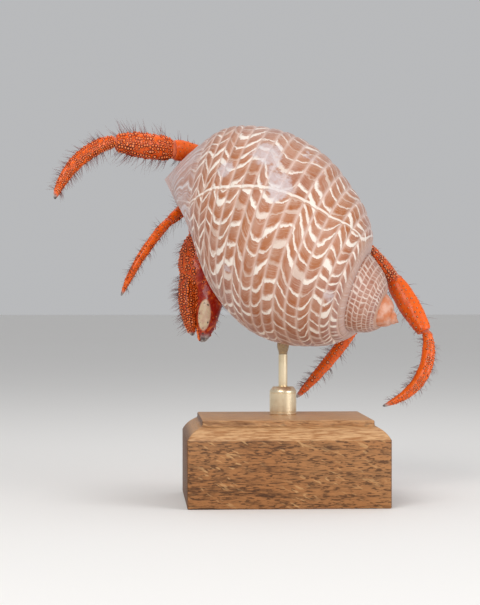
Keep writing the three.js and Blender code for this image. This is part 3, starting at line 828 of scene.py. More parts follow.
# ---------------------------------------------------------------- tubercles and setae

# rings of a tubercle: radius, height and how far the colour has gone from crust to pale cap
TUBERCLE = [(2.0, -0.06, 0.0), (1.6, 0.05, 0.42), (1.08, 0.12, 0.5), (0.92, 0.46, 0.78),
            (0.5, 0.78, 1.0)]
# rings of a seta, a thin blade of three sides: radius, height and how far along it they lie
SETA = [(1 - 0.75 * t, t, t) for t in (0, 0.25, 0.5, 0.75)]
# rows of tubercles round a plate, the gap along a row in millimetres, and their size
TUBERCLE_ROWS = {
    ("leg3_right", "propodus"): (11, 2.6, 0.62), ("leg3_right", "dactyl"): (14, 1.1, 0.75),
    ("leg3_left", "dactyl"): (14, 1.1, 1.0), ("leg3_left", "carpus"): (10, 3.2, 0.55),
    ("leg3_left", "propodus"): (16, 1.4, 1.25), "leg2": (8, 1.95, 1.15),
    "merus": (10, 2.4, 0.7), "finger": (19, 1.25, 1.3), "palm": (30, 1.45, 1.15),
    "carpus": (14, 1.35, 1.0)}
# tufts a millimetre, share of them on the two edges, and length factor
SETA_PLAN = {
    ("leg3_right", "propodus"): (1.1, 0.6, 0.7), ("leg3_right", "dactyl"): (3.8, 0.62, 0.62),
    ("leg3_left", "propodus"): (6.0, 0.6, 0.95),
    "merus": (1.6, 0.5, 0.5), "carpus": (2.4, 0.6, 0.62), "propodus": (4.2, 0.6, 0.95),
    "dactyl": (5.4, 0.62, 0.72), "palm": (3.4, 0.5, 0.6), "finger": (8.5, 0.55, 0.66)}
# how wide a copy's patch is on the plate's unwrap
TUBERCLE_PATCH, SETA_PATCH = 0.012, 0.003
RAY_FROM, RAY_REACH = 40, 0.06    # from the plate's axis in millimetres; in metres
TUBERCLE_SHARE = 0.93             # of the places in a row that bear one


def stacked_form(rings, sides, tip, foot=None):
    """Points, their values and the faces of a stack of rings that ends in a tip.

    Below it ends in a foot on the axis, or in a flat face.
    """
    points, values, faces = [], [], []
    for r, h, value in rings:
        for a in range(sides):
            w = 2 * math.pi * a / sides
            points.append((r * math.cos(w), r * math.sin(w), h))
            values.append(value)
    last = (len(rings) - 1) * sides
    top, bottom = last + sides, last + sides + 1
    for a in range(sides):
        b = (a + 1) % sides
        for i in range(0, last, sides):
            faces += [(i + a, i + b, i + sides + b), (i + a, i + sides + b, i + sides + a)]
        faces.append((last + a, last + b, top))
        if foot is not None:
            faces.append((b, a, bottom))
    points.append((0, 0, tip))
    values.append(1.0)
    if foot is None:
        faces.append((0, 2, 1))
    else:
        points.append((0, 0, foot))
        values.append(0.0)
    return np.array(points), np.array(values), np.array(faces)


def axes_about(normals, lean):
    """Unit frames whose Z is the normal and whose X is the lean direction laid on the surface."""
    x = lean - normals * (lean * normals).sum(1)[:, None]
    x /= np.linalg.norm(x, axis=1)[:, None] + 1e-9
    return x, np.cross(normals, x), normals


def patches(piece, form, roots, size):
    """The OFBake map: each copy is a small patch at its root's place on the plate's own unwrap."""
    layer = piece.data.uv_layers.new(name="OFBake")
    spread = form[:, :2] - form[:, :2].min(0)
    if form[:, 2].max() == 1:    # a seta, unrolled
        spread = np.stack([(np.arange(len(form)) % 3) / 3, form[:, 2]], 1)
    spread = spread / (spread.max(0) + 1e-9) * size
    uv = (roots[:, None, :] * (1 - size) + spread[None]).reshape(-1, 2)
    corners = np.zeros(len(piece.data.loops), np.int32)
    piece.data.loops.foreach_get("vertex_index", corners)
    layer.data.foreach_set("uv", uv[corners].astype(np.float32).ravel())


def unwrap_place(angle, along, count):
    """A root's place on the unwrap: once round, and segment above segment."""
    return (angle / (2 * math.pi)) % 1, along / count


def joined_copies(name, form, faces, ways, leans, roots, sizes, bends, uvs, patch):
    """One piece from many copies of a form, each along its own way from its root."""
    x, y, z = axes_about(np.array(ways), np.array(leans))
    roots, sizes = np.array(roots), np.array(sizes)
    scaled = form[None] * sizes[:, None, :]
    points = (roots[:, None] + x[:, None] * scaled[..., :1] + y[:, None] * scaled[..., 1:2]
              + z[:, None] * scaled[..., 2:])
    points = points + np.array(bends)[:, None] * form[None, :, 2:] ** 2
    every = (faces[None] + (np.arange(len(roots)) * len(form))[:, None, None]).reshape(-1, 3)
    piece = mesh_piece(name, points.reshape(-1, 3) * MM, every)
    patches(piece, form, np.array(uvs), patch)
    make_active(piece)
    bpy.ops.object.shade_smooth()
    return piece


def joined_setae(name, ways, leans, roots, sizes, bends, uvs, tufts):
    form, along, faces = stacked_form(SETA, 3, 1)
    piece = joined_copies(name, form, faces, ways, leans, roots, sizes, bends, uvs, SETA_PATCH)
    paint(piece, along=np.tile(along, len(roots)), tuft=np.repeat(tufts, len(form)))
    return piece


def is_bare(limb, kind, a, rng):
    """Whether a place round a plate is one of those that bear hardly any tubercles."""
    if (limb, kind) == ("leg3_right", "dactyl"):
        return math.cos(a) < -0.25 and abs(math.sin(a)) > 0.3
    if (limb, kind) == ("claw_left", "palm"):
        return math.sin(a) > -0.2 and math.cos(a) > -0.35 and rng.random() < 0.93
    return False


def surface_points(kind, limb, length, rng):
    """Places for tubercles on a plate: along (0..1), angle, radius factor and spine flag."""
    rows, gap, size = (TUBERCLE_ROWS.get((limb, kind)) or TUBERCLE_ROWS.get(limb[:4])
                       or TUBERCLE_ROWS[kind])
    small = LIMBS[limb].get("size", 1.0) ** 0.6
    size *= small
    gap *= small
    toe = kind in ("dactyl", "finger")
    spots = []
    for row in range(rows):
        a0 = 2 * math.pi * (row + 0.5 * (rows % 2)) / rows
        z = rng.uniform(0.02, 0.9) * gap
        while z < length * 0.985:
            t = z / length
            a = a0 + rng.normal(0, 0.05)
            thin = {"dactyl": 1 - 0.35 * t, "finger": 1 - 0.25 * t}.get(kind, 1.0)
            bare = is_bare(limb, kind, a, rng)
            if not bare and rng.random() < TUBERCLE_SHARE and not (toe and t > 0.93):
                spine = math.cos(a) > 0.8 and kind not in ("palm", "finger")
                if limb.startswith("leg2"):
                    thin *= 1.1 if abs(math.sin(a)) > 0.9 else 0.62
                spots.append((t, a, size * thin * rng.uniform(0.5, 1.25), spine))
            z += gap * (0.75 + 0.25 * thin) * rng.uniform(0.85, 1.2)
    return spots


def on_plate(tree, frame_at, length, t, a, bow):
    """The plate's surface and normal where a ray from outside at that place meets it, in mm."""
    axis = Vector((bow * 4 * t * (1 - t), 0, t * length))
    out = Vector((math.cos(a), math.sin(a), 0))
    start, centre = frame_at @ (axis + out * RAY_FROM), frame_at @ axis
    place, normal, _, _ = tree.ray_cast(start * MM, (centre - start).normalized(), RAY_REACH)
    if place is None:
        return None
    return np.array(place) / MM, np.array(normal)


def tubercles(limb, plates, settings, rng):
    """All the tubercles and spines of a limb, joined in one piece."""
    roots, normals, sizes, uvs, tones, heads, glows = [], [], [], [], [], [], []
    for number, (kind, frame_at, length, _, _, bow, piece) in enumerate(plates):
        tree = BVHTree.FromObject(piece, bpy.context.evaluated_depsgraph_get())
        ahead = np.array((frame_at.to_3x3() @ Vector((0, 0, 1))))
        reach = whole_length(kind, length)
        for t, a, size, spine in surface_points(kind, limb, reach, rng):
            found = on_plate(tree, frame_at, reach, t, a, bow)
            if found is None:
                continue
            place, normal = found
            if (limb, kind) == ("claw_left", "palm"):
                local = frame_at.inverted() @ Vector(place)
                oval = math.hypot((local.z - PATCH_Z) / PATCH_CLEAR[1],
                                  (local.x - PATCH_X) / PATCH_CLEAR[0])
                if oval < 1 and normal[1] < 0.2:
                    continue
            roots.append(place)
            normals.append(normal)
            r = settings.tubercle / MM * size
            sizes.append((r, r, r * (1.7 if spine else 1.0)))
            heads.append(ahead)
            uvs.append(unwrap_place(a, number + t, len(plates)))
            tones.append(float(redness_and_painted_shade(limb, kind, t, math.cos(a))))
            glows.append(glow_of(limb, kind, rng))
    form, spots, faces = stacked_form(TUBERCLE, 7, 0.88, -0.2)
    sizes = np.array(sizes)
    bends = np.array(heads) * (0.35 * (sizes[:, 2] - sizes[:, 0]))[:, None]
    piece = joined_copies(f"{limb}_tubercles", form, faces, normals, heads, roots, sizes, bends,
                          uvs, TUBERCLE_PATCH)
    paint(piece, spot=np.tile(spots, len(roots)), tone=np.repeat(tones, len(form)),
          glow=np.repeat(glows, len(form)), tip=0, cream=0)
    return piece


def glow_of(limb, kind, rng):
    """How pale a tubercle's cap is."""
    base = {("leg3_right", "propodus"): 1.0, (limb, "palm"): 0.0}.get((limb, kind), CAP_GLOW[limb])
    return float(np.clip(base + rng.normal(0, 0.16), 0, 1))


def setae(limb, plates, settings, rng):
    """The stiff setae of a limb: tufts along its edges and shorter ones all over."""
    roots, ways, leans, sizes, uvs, bends, tufts = [], [], [], [], [], [], []
    for number, (kind, frame_at, length, _, _, bow, piece) in enumerate(plates):
        per_mm, edge, long = SETA_PLAN.get((limb, kind)) or SETA_PLAN[kind]
        if limb.startswith("leg2"):
            per_mm *= 0.8
        tree = BVHTree.FromObject(piece, bpy.context.evaluated_depsgraph_get())
        turn = frame_at.to_3x3()
        ahead = np.array(turn @ Vector((0, 0, 1)))
        reach = whole_length(kind, length)
        for _ in range(int(per_mm * reach)):
            t = rng.uniform(0.05, 0.91 if kind in ("dactyl", "finger", "palm") else 0.985)
            on_edge = rng.random() < edge
            if on_edge:
                a = rng.choice([0.0, math.pi], p=[0.45, 0.55]) + rng.normal(0, 0.32)
            else:
                a = rng.uniform(0, 2 * math.pi)
            if (limb, kind) == ("claw_left", "palm") and math.sin(a) > 0.1 and t > 0.3:
                continue
            found = on_plate(tree, frame_at, reach, t, a, bow)
            if found is None:
                continue
            place, normal = found
            out = np.array(turn @ Vector((math.cos(a), math.sin(a), 0)))
            tuft = rng.integers(1, 4) if on_edge else rng.integers(1, 3)
            tall = settings.seta_length / MM * long * (1.0 if on_edge else 0.42)
            lean = rng.uniform(0.1, 0.6)
            for _ in range(tuft):
                high = tall * rng.uniform(0.35, 1.0) * (1 - 0.35 * t * (kind == "dactyl"))
                way = 0.5 * normal + 0.7 * out + ahead * (lean + rng.normal(0, 0.16))
                way = way + rng.normal(0, 0.2, 3)
                ways.append(way / np.linalg.norm(way))
                roots.append(place - normal * 0.15 + rng.normal(0, 0.26, 3))
                leans.append(ahead + rng.normal(0, 0.1, 3))
                r = settings.seta_radius / MM * rng.uniform(0.7, 1.15)
                sizes.append((r, r, high))
                bends.append(ahead * high * rng.uniform(0.05, 0.32) + rng.normal(0, 0.06, 3) * high)
                uvs.append(unwrap_place(a, number + t, len(plates)))
                tufts.append(rng.uniform(0, 1))
    return joined_setae(f"{limb}_setae", ways, leans, roots, sizes, bends, uvs, tufts)


def joint_skins(limb, plates):
    """The wrinkled joint membranes of a limb: a soft knuckle under each pair of plates."""
    made = []
    for n, (kind, frame_at, _, depth, thick, _, _) in enumerate(plates):
        if kind == "finger":
            continue
        clear_selection()
        bpy.ops.mesh.primitive_uv_sphere_add(segments=24, ring_count=14, radius=MM)
        knuckle = added(f"{limb}_joint_skin")
        wide = max(FORMS[kind][0][1] * 1.25, 0.55)
        with editing():
            bpy.ops.transform.resize(value=(depth / 2 * wide, thick / 2 * wide, 2.6 * thick / 7))
        roughened(knuckle, 0.35, 0.9, 5 + n)
        knuckle.data.transform(Matrix.Scale(MM, 4) @ frame_at @ Matrix.Translation((0, 0, -0.5))
                               @ Matrix.Scale(1 / MM, 4))
        made.append(knuckle)
    make_active(made[0])
    for knuckle in made:
        knuckle.select_set(True)
    bpy.ops.object.join()
    bpy.ops.object.shade_smooth()
    return made[0]


# ---------------------------------------------------------------- head and small appendages

APPENDAGES = {
    "eyestalk": [(2.2, 12.6, 3.6), (3.2, 17, 5.8), (4.2, 21.6, 7.8)],
    "antennule": [(1, 12.9, 1), (1.4, 18, 2.6), (1.8, 22, 6.4), (1.9, 21.4, 10.4)],
    "antenna_base": [(5.4, 11, 1.2), (6, 15, 1.6), (5.8, 20, 2)],
    "antenna": [(5.8, 21, 2), (7.5, 34, 8), (13, 52, 9), (18, 66, -2), (20, 74, -18)],
    "maxilliped": [(2.3, 11.4, -4.4), (2.6, 17, -6.6), (2.2, 21, -11), (1.7, 20, -16)],
    "leg4": [(7.8, -8.6, 1.6), (10.6, -9, 4), (11.4, -4, 6.6), (11, 1.5, 6.4)],
}
GIRTH = {
    "eyestalk": [0.3, 1.2, 1.32, 1.3, 1.26, 1.24, 1.26, 1.34, 1.48, 1.62, 1.68, 1.3],
    "antennule": [0.2, 0.72, 0.74, 0.6, 0.66, 0.68, 0.52, 0.58, 0.5, 0.36, 0.3, 0.12],
    "antenna_base": [0.4, 1.5, 1.7, 1.66, 1.3, 1.5, 1.52, 1.3, 1.0, 1.12, 0.95, 0.5],
    "maxilliped": [0.3, 1.3, 1.55, 1.6, 1.25, 1.55, 1.5, 1.15, 1.2, 1.0, 0.72, 0.3],
    "leg4": [0.3, 1.2, 1.45, 1.4, 1.1, 1.35, 1.3, 1.05, 1.15, 0.95, 0.65, 0.25],
}
EYE_AT, EYE_RADIUS = (4.6, 24.1, 8.6), 2.0
PATH_STEPS = 60
HEAD_SEED = 40
# how many setae a small limb carries, and how long they grow
HEAD_SETAE = {"maxilliped": (300, 2.6), "antenna_base": (90, 2.0), "antennule": (60, 1.3),
              "leg4": (150, 2.2), "eyestalk": (40, 1.2)}


def head_setae(pieces, settings, rng):
    """Fine setae on the small limbs, each leaning towards its limb's tip."""
    roots, ways, leans, sizes, uvs = [], [], [], [], []
    for number, (kind, side, piece) in enumerate(pieces):
        count, longest = HEAD_SETAE[kind]
        path = smooth_path(kind, side, PATH_STEPS)
        along = piece.data.attributes["along"].data
        for pick in rng.integers(0, len(piece.data.polygons), count):
            face = piece.data.polygons[int(pick)]
            t = along[face.vertices[0]].value
            if not 0.3 < t < 0.97:
                continue
            step = min(int(t * (PATH_STEPS - 1)), PATH_STEPS - 2)
            ahead = np.array(BODY.to_3x3() @ (path[step + 1] - path[step]).normalized())
            normal = np.array(face.normal)
            way = normal + ahead * rng.uniform(0.3, 1.1) + rng.normal(0, 0.15, 3)
            across = BODY.to_3x3().inverted() @ face.normal
            r = settings.seta_radius / MM * rng.uniform(0.6, 0.9)
            roots.append(np.array(face.center) / MM - normal * 0.1)
            ways.append(way / np.linalg.norm(way))
            leans.append(ahead + rng.normal(0, 0.1, 3))
            sizes.append((r, r, longest * rng.uniform(0.4, 1)))
            uvs.append(unwrap_place(math.atan2(across.z, across.x), number + t, len(pieces)))
    tall = np.array(sizes)[:, 2]
    bends = np.array(leans) * (tall * rng.uniform(0.05, 0.35, len(sizes)))[:, None]
    return joined_setae("head_setae", ways, leans, roots, sizes, bends, uvs,
                        rng.uniform(0, 1, len(roots)))


def bends_of(kind, side):
    """The points that a small limb bends at; side is -1 on the left and 1 on the right."""
    return [Vector((side * x, y, z)) for x, y, z in APPENDAGES[kind]]


def smooth_path(kind, side, count):
    """An even smooth line through the bends of a small limb."""
    points = bends_of(kind, side)
    ends = [points[0] * 2 - points[1]] + points + [points[-1] * 2 - points[-2]]
    out = []
    for q in np.linspace(0, len(points) - 1, count):
        i = min(int(q), len(points) - 2)
        w = q - i
        a, b, c, d = ends[i:i + 4]
        out.append(0.5 * ((2 * b) + (c - a) * w + (2 * a - 5 * b + 4 * c - d) * w * w
                          + (3 * b - a - 3 * c + d) * w ** 3))
    return out


def drawn(name, path, radii, sides):
    """A round limb drawn as a path with a bevel, then made a mesh; path in body millimetres."""
    clear_selection()
    bpy.ops.curve.primitive_nurbs_path_add(radius=MM)
    piece = bpy.context.object
    piece.name = name
    curve = piece.data
    curve.splines.clear()
    line = curve.splines.new("POLY")
    line.points.add(len(path) - 1)
    for point, place, radius in zip(line.points, path, radii):
        world = BODY @ place * MM
        point.co = (world.x, world.y, world.z, 1)
        point.radius = radius
    curve.bevel_depth = MM
    curve.bevel_resolution = sides
    curve.use_fill_caps = True
    bpy.ops.object.convert(target="MESH")
    piece = bpy.context.object
    piece.data.name = name
    close_up(piece)
    return piece


def appendage(kind, side, word):
    """One of a pair of small limbs, with how far along it each of its points lies."""
    if kind == "antenna":
        count, sides = 150, 2
        t = np.linspace(0, 1, count)
        radii = (0.58 - 0.34 * t) * (1 + 0.13 * np.where(np.arange(count) % 2, 1, -1))
    else:
        count, sides = 45, 5
        known = GIRTH[kind]
        radii = np.interp(np.linspace(0, 1, count), np.linspace(0, 1, len(known)), known)
        radii = np.convolve(np.pad(radii, 2, mode="edge"), np.ones(5) / 5, "valid")
        radii[0], radii[-1] = 0.05, 0.05
    piece = drawn(f"{kind}_{word}_limb", smooth_path(kind, side, count), radii, sides)
    line = np.array([(BODY @ p)[:] for p in smooth_path(kind, side, PATH_STEPS)])
    gap = np.linalg.norm((points_of(piece) / MM)[:, None] - line[None], axis=2)
    paint(piece, along=gap.argmin(1) / (PATH_STEPS - 1), tone=0.85 if kind == "antenna" else 0.35,
          spot=0, tip=0, cream=0)
    return piece


# ---------------------------------------------------------------- finishes

def shell_finish(look):
    """The tun shell's outside: brown cells between white crescents on flat cords."""
    f = Finish("tun_shell", Coat_Weight=0.1, Coat_Roughness=0.3, Specular_IOR_Level=0.35)
    cord, phase, deg = f.attribute("cord"), f.attribute("phase"), f.attribute("degree")
    across = f.math("FRACT", cord)
    row = f.math("FLOOR", cord)
    wobble = f.times(f.minus(f.noise(330, 4, 0.6), 0.5), 0.55)
    shifted = f.plus(phase, wobble)
    along = f.math("FRACT", shifted)
    count = f.math("FLOOR", shifted)
    luck = f.chance(f.joined(row, count, 2.5))
    other = f.chance(f.joined(row, count, 9.1))

    # a white line starts each cell, thin in some and broad in others
    width = f.fused(f.math("POWER", luck, 3.0), 0.34, f.step(deg, 40, 75, (0.15, 0.07)))
    width = f.fused(f.noise(300, 3), 0.20, f.minus(width, 0.10))
    fade_in = f.step(along, 0.0, 0.1)
    fade_out = f.step(f.minus(along, width), -0.05, 0.19, (1.0, 0.0))
    white = f.times(fade_in, fade_out, clamp=True)
    white = f.times(white, f.step(other, 0.0, 0.5, (0.35, 0.95)))
    white = f.times(white, f.step(deg, -260, -120, (0.66, 1.0)))

    # the brown is strongest just after the line and thins towards the next one
    rich = f.minus(1.0, f.times(f.minus(along, width), 0.34))
    rich = f.times(rich, f.step(f.noise(150, 4, 0.6), 0.25, 0.7, (0.8, 1.2)), clamp=True)
    mauve = f.plus(f.step(deg, -75, -5, (0.62, 0.0)), f.step(f.noise(34, 2), 0.45, 0.7, (0, 0.45)))
    mauve = f.plus(mauve, f.attribute("high"), clamp=True)
    cell = f.mix(mauve, look.cell, look.cell_low)
    light = f.mix(0.5, look.line, cell)
    cell = f.mix(rich, light, cell)
    cell = f.mix(f.times(other, 0.35), cell, f.mix(0.55, cell, look.groove))
    streak = f.noise(1.0, 2, 0.6, f.joined(f.times(cord, 0.7), f.times(phase, 14.0)))
    cell = f.mix(f.step(streak, 0.5, 0.75, (0, 0.28)), cell, look.line)
    edge = f.math("MINIMUM", across, f.minus(1.0, across))
    cell = f.mix(f.step(edge, 0.07, 0.26, (0.26, 0.0)), cell, f.mix(0.55, look.groove, look.line))
    colour = f.mix(white, cell, look.line)

    # grooves between the cords
    deep = f.step(edge, 0.035, 0.115, (1.0, 0.0))
    calm = f.step(f.attribute("pale"), 0.5, 0.9, (1.0, 0.15))
    groove = f.times(f.times(deep, calm), f.step(f.noise(210, 2), 0.3, 0.6, (0.45, 0.95)))
    colour = f.mix(groove, colour, f.mix(0.35, look.groove, look.line))

    # an old growth edge crosses the whorl
    scar = f.attribute("scar")
    line = f.step(f.math("ABSOLUTE", f.minus(scar, 1.7)), 0.5, 1.1, (0.85, 0.0))
    dark = f.step(f.math("ABSOLUTE", scar), 0.25, 0.75, (0.8, 0.0))
    colour = f.mix(line, colour, look.line)
    colour = f.mix(dark, colour, f.mix(0.3, look.cell, look.line))

    # pale foot and lip, the rubbed patches and the plain first whorls
    grain = f.noise(520, 4, 0.65)
    bare = f.mix(f.step(grain, 0.4, 0.75), look.worn, f.mix(0.5, look.worn, look.groove))
    bands = f.noise(1.0, 2, 0.5, f.joined(f.times(cord, 0.12), f.times(phase, 4.0)))
    foot = f.mix(f.step(bands, 0.35, 0.65), look.worn, f.mix(0.65, look.worn, look.cell))
    colour = f.mix(f.times(f.attribute("pale"), 0.8), colour, foot)
    wear = f.attribute("wear")
    worn = f.fused(f.minus(f.noise(150, 5, 0.72), 0.5), 2.0, wear)
    worn = f.times(f.step(worn, 0.3, 0.68), f.step(wear, 0.05, 0.3))
    colour = f.mix(f.times(worn, 0.64), colour, bare)
    first = f.step(deg, -640, -500, (1.0, 0.0))
    plain = f.mix(f.step(f.noise(300, 4), 0.35, 0.7), look.apex, f.mix(0.35, look.apex, look.line))
    colour = f.mix(first, colour, plain)

    height = f.fused(white, 0.5, f.times(grain, 0.22))
    height = f.fused(worn, f.times(f.noise(700, 3, 0.7), 1.3), height)
    ridges = f.noise(1.0, 1, 0.5, f.joined(f.times(cord, 0.5), f.times(phase, 9.0)))
    height = f.fused(ridges, 0.35, height)
    rough = f.fused(worn, 0.25, f.step(grain, 0.3, 0.7, (0.34, 0.5)))
    return f.done(Base_Color=colour, Roughness=rough, Normal=f.bump(height, 0.00022, 0.9))


def lining_finish(look):
    f = Finish("porcelain_lining", Coat_Weight=0.35, Coat_Roughness=0.15)
    band = f.noise(60, 3, 0.5, f.stretched((1, 0.35, 1)))
    colour = f.mix(f.step(band, 0.3, 0.7), look.inside, f.mix(0.5, look.inside, look.line))
    colour = f.mix(f.step(f.noise(240, 3), 0.55, 0.8, (0, 0.25)), colour, look.cell)
    return f.done(Base_Color=colour, Roughness=f.step(f.noise(300, 2), 0.3, 0.7, (0.18, 0.32)),
                  Normal=f.bump(f.noise(180, 3), 0.0001, 0.6))


def crust_finish(look, name="crust"):
    """Crab crust with its tubercles: orange to deep red, pale caps in dark rings, grey tips."""
    f = Finish(name, Coat_Weight=0.04, Coat_Roughness=0.2, Specular_IOR_Level=0.36)
    tone, spot, tip = f.attribute("tone"), f.attribute("spot"), f.attribute("tip")
    mottle = f.noise(230, 4, 0.6)
    fine = f.noise(900, 3, 0.6)
    # on plates and tubercles the tone is the limb's own redness plus painted shade: redder on inner
    # edges and towards the joints
    red = f.plus(tone, f.times(f.minus(mottle, 0.5), 0.75), clamp=True)
    colour = f.mix(red, look.crust, look.crust_red)
    lighter = f.mix(0.35, look.crust, look.cap)
    colour = f.mix(f.step(f.noise(520, 3, 0.55), 0.5, 0.72, (0, 0.6)), colour, lighter)
    specks = f.step(f.cells(1500), 0.12, 0.2, (1.0, 0.0))
    specks = f.times(specks, f.step(fine, 0.55, 0.7))
    colour = f.mix(f.times(specks, 0.8), colour, look.ring)
    cap = f.mix(f.attribute("glow"), f.mix(0.25, look.crust, look.cap),
                f.mix(0.18, look.cap, (1, 1, 1)))
    ring = f.times(f.step(spot, 0.12, 0.40), f.step(spot, 0.52, 0.74, (1.0, 0.0)))
    deep = f.step(tone, 0.1, 0.5)
    ring_colour = f.mix(deep, f.mix(0.5, look.ring, look.crust_red), look.ring)
    colour = f.mix(f.times(ring, 0.92), colour, ring_colour)
    colour = f.mix(f.step(spot, 0.60, 0.85), colour, cap)
    cream = f.mix(f.step(f.noise(400, 3), 0.3, 0.7), tint("d8c3a2"), tint("c9a58a"))
    dots = f.step(f.cells(430, jitter=0.6), 0.20, 0.26, (1.0, 0.0))
    rim = f.times(f.step(f.attribute("rim"), 0.3, 0.6), dots)
    colour = f.mix(f.attribute("cream"), colour, cream)
    colour = f.mix(rim, colour, look.ring)
    horn = f.mix(f.step(f.noise(600, 3), 0.3, 0.7), tint("c7beb8"), tint("57504f"))
    colour = f.mix(tip, colour, horn)
    height = f.fused(fine, 0.5, f.times(mottle, 0.8))
    rough = f.step(mottle, 0.3, 0.7, (0.2, 0.36))
    return f.done(Base_Color=colour, Roughness=rough, Normal=f.bump(height, 0.00016, 0.8),
                  Subsurface_Weight=0.04, Subsurface_Radius=(0.002, 0.0006, 0.0003),
                  Subsurface_Scale=0.5)


def seta_finish(look, name="setae"):
    f = Finish(name, Roughness=0.45)
    along, tuft = f.attribute("along"), f.attribute("tuft")
    root = f.mix(tuft, look.seta, look.crust_red)
    colour = f.mix(f.step(along, 0.25, 0.95), root, look.seta_tip)
    colour = f.mix(f.step(f.noise(900, 2), 0.4, 0.7, (0, 0.3)), colour, look.seta)
    return f.done(Base_Color=colour)


def membrane_finish(look, name="joint_skin"):
    f = Finish(name, Roughness=0.55, Subsurface_Weight=0.1, Subsurface_Scale=0.5,
               Subsurface_Radius=(0.003, 0.001, 0.0006))
    folds = f.noise(520, 4, 0.6)
    soft = name == "soft_skin"
    base = look.membrane if soft else f.mix(0.6, look.membrane, look.crust)
    colour = f.mix(f.step(folds, 0.3, 0.7), base, f.mix(0.4 if soft else 0.6, base, look.crust_red))
    pale = 0.5 if soft else 0.15
    colour = f.mix(f.step(f.noise(180, 3), 0.5, 0.75, (0, pale)), colour, tint("d9b9a4"))
    return f.done(Base_Color=colour, Normal=f.bump(folds, 0.0003, 0.9))


def eye_finish():
    f = Finish("cornea", Roughness=0.08, Coat_Weight=0.6, Coat_Roughness=0.04)
    facet = f.cells(3600, jitter=0.25)
    colour = f.mix(f.noise(260, 2), tint("0b0a0c"), tint("2a2230"))
    return f.done(Base_Color=colour, Normal=f.bump(facet, 0.00004, 0.5))


def wood_finish(look):
    """Sawn hardwood with its grain along X, pores and short pale ray flecks."""
    f = Finish("hardwood", Specular_IOR_Level=0.3)
    apart = f.node("ShaderNodeSeparateXYZ", {0: f.place})
    x, y, z = apart.outputs
    bend = f.noise(9.0, 3, 0.5, f.stretched((0.25, 1, 1)))
    ring = f.plus(f.times(z, 330.0), f.times(y, 95.0))
    ring = f.plus(ring, f.times(bend, 16.0))
    growth = f.noise(1.0, 2, 0.55, f.joined(f.times(x, 9.0), ring, 0.0))
    growth = f.step(growth, 0.3, 0.7)
    fibre = f.noise(1.0, 3, 0.65, f.stretched((150, 1250, 1250)))
    pores = f.noise(1.0, 2, 0.55, f.stretched((330, 1750, 1750)))
    tone = f.fused(fibre, 0.84, f.times(growth, 0.16))
    colour = f.mix(f.step(tone, 0.28, 0.60), look.wood_dark, look.wood)
    colour = f.mix(f.step(f.noise(28, 3), 0.4, 0.75, (0, 0.4)), colour,
                   f.mix(0.5, look.wood, look.fleck))
    colour = f.mix(f.step(pores, 0.52, 0.62, (0, 0.8)), colour, look.wood_dark)
    slant = f.stretched((190, 500, 800), vector=f.stretched((1, 1, 1), (0, math.radians(-24), 0)))
    rays = f.noise(1.0, 2, 0.45, slant)
    gate = f.step(f.noise(46, 2), 0.38, 0.62)
    rays = f.times(f.step(rays, 0.60, 0.68), gate)
    colour = f.mix(f.times(rays, 0.72), colour, look.fleck)
    # the moulding and the top are planed smoother; their colour is made lighter as painted light
    # from above, and the ends are darker
    upper = f.step(z, 0.0297, 0.0305)
    smooth = f.mix(f.step(fibre, 0.3, 0.65), look.wood, f.mix(0.3, look.fleck, (0.95, 0.62, 0.36)))
    painted_top_light = f.times(upper, f.step(z, 0.0352, 0.0362, (0.85, 0.35)))
    painted_top_light = f.math("MAXIMUM", painted_top_light, f.step(z, 0.0381, 0.0384, (0, 0.8)))
    # painted light: the upward-facing moulding and the top are coloured lighter
    colour = f.mix(painted_top_light, colour, smooth)
    face = f.node("ShaderNodeSeparateXYZ", {0: f.node("ShaderNodeNewGeometry").outputs["Normal"]})
    end = f.step(f.math("ABSOLUTE", face.outputs[0]), 0.55, 0.85)
    speck = f.step(f.noise(1.0, 3, 0.7, f.stretched((60, 1700, 1700))), 0.42, 0.66)
    grain_end = f.mix(speck, f.mix(0.6, look.wood, look.wood_dark), look.wood_dark)
    colour = f.mix(f.times(end, 0.9), colour, grain_end)
    rough = f.plus(f.step(fibre, 0.3, 0.7, (0.46, 0.62)), f.times(upper, -0.08))
    height = f.fused(pores, -0.7, f.times(fibre, 0.7))
    return f.done(Base_Color=colour, Roughness=rough, Normal=f.bump(height, 0.00022, 0.8))


def brass_finish(look, name="satin_brass"):
    """Turned brass: fine lathe lines round the axis, a little tarnish."""
    f = Finish(name, Metallic=1.0)
    lines = f.noise(1.0, 3, 0.7, f.stretched((60, 60, 9000)))
    cloud = f.noise(150, 3)
    colour = f.mix(f.step(cloud, 0.4, 0.8, (0, 0.35)), look.brass, tint("a5803f"))
    rough = f.plus(f.step(lines, 0.3, 0.7, (0.24, 0.36)), f.times(cloud, 0.06))
    return f.done(Base_Color=colour, Roughness=rough, Normal=f.bump(lines, 0.00002, 0.5))


def glue_finish(look):
    f = Finish("amber_resin", Transmission_Weight=0.35, IOR=1.5, Coat_Weight=0.5)
    cloud = f.noise(700, 4, 0.6)
    colour = f.mix(f.step(cloud, 0.3, 0.7), look.glue, f.mix(0.5, look.glue, look.wood_dark))
    return f.done(Base_Color=colour, Roughness=f.step(cloud, 0.3, 0.7, (0.16, 0.34)),
                  Normal=f.bump(cloud, 0.0002, 0.6))


def floor_finish(look):
    f = Finish("studio_floor", Roughness=0.85)
    cloud = f.step(f.noise(3, 2), 0.3, 0.7, (0, 0.03))
    return f.done(Base_Color=f.mix(cloud, look.floor, (1, 1, 1)))


# ---------------------------------------------------------------- operators

BLOCK = dict(width=90.0, depth=78.4, shoulder=30.0, moulding=36.0, top=38.5, inset=6.8, bulge=0.9)
POST = (0.8, 11.0)
FERRULE = 12.9
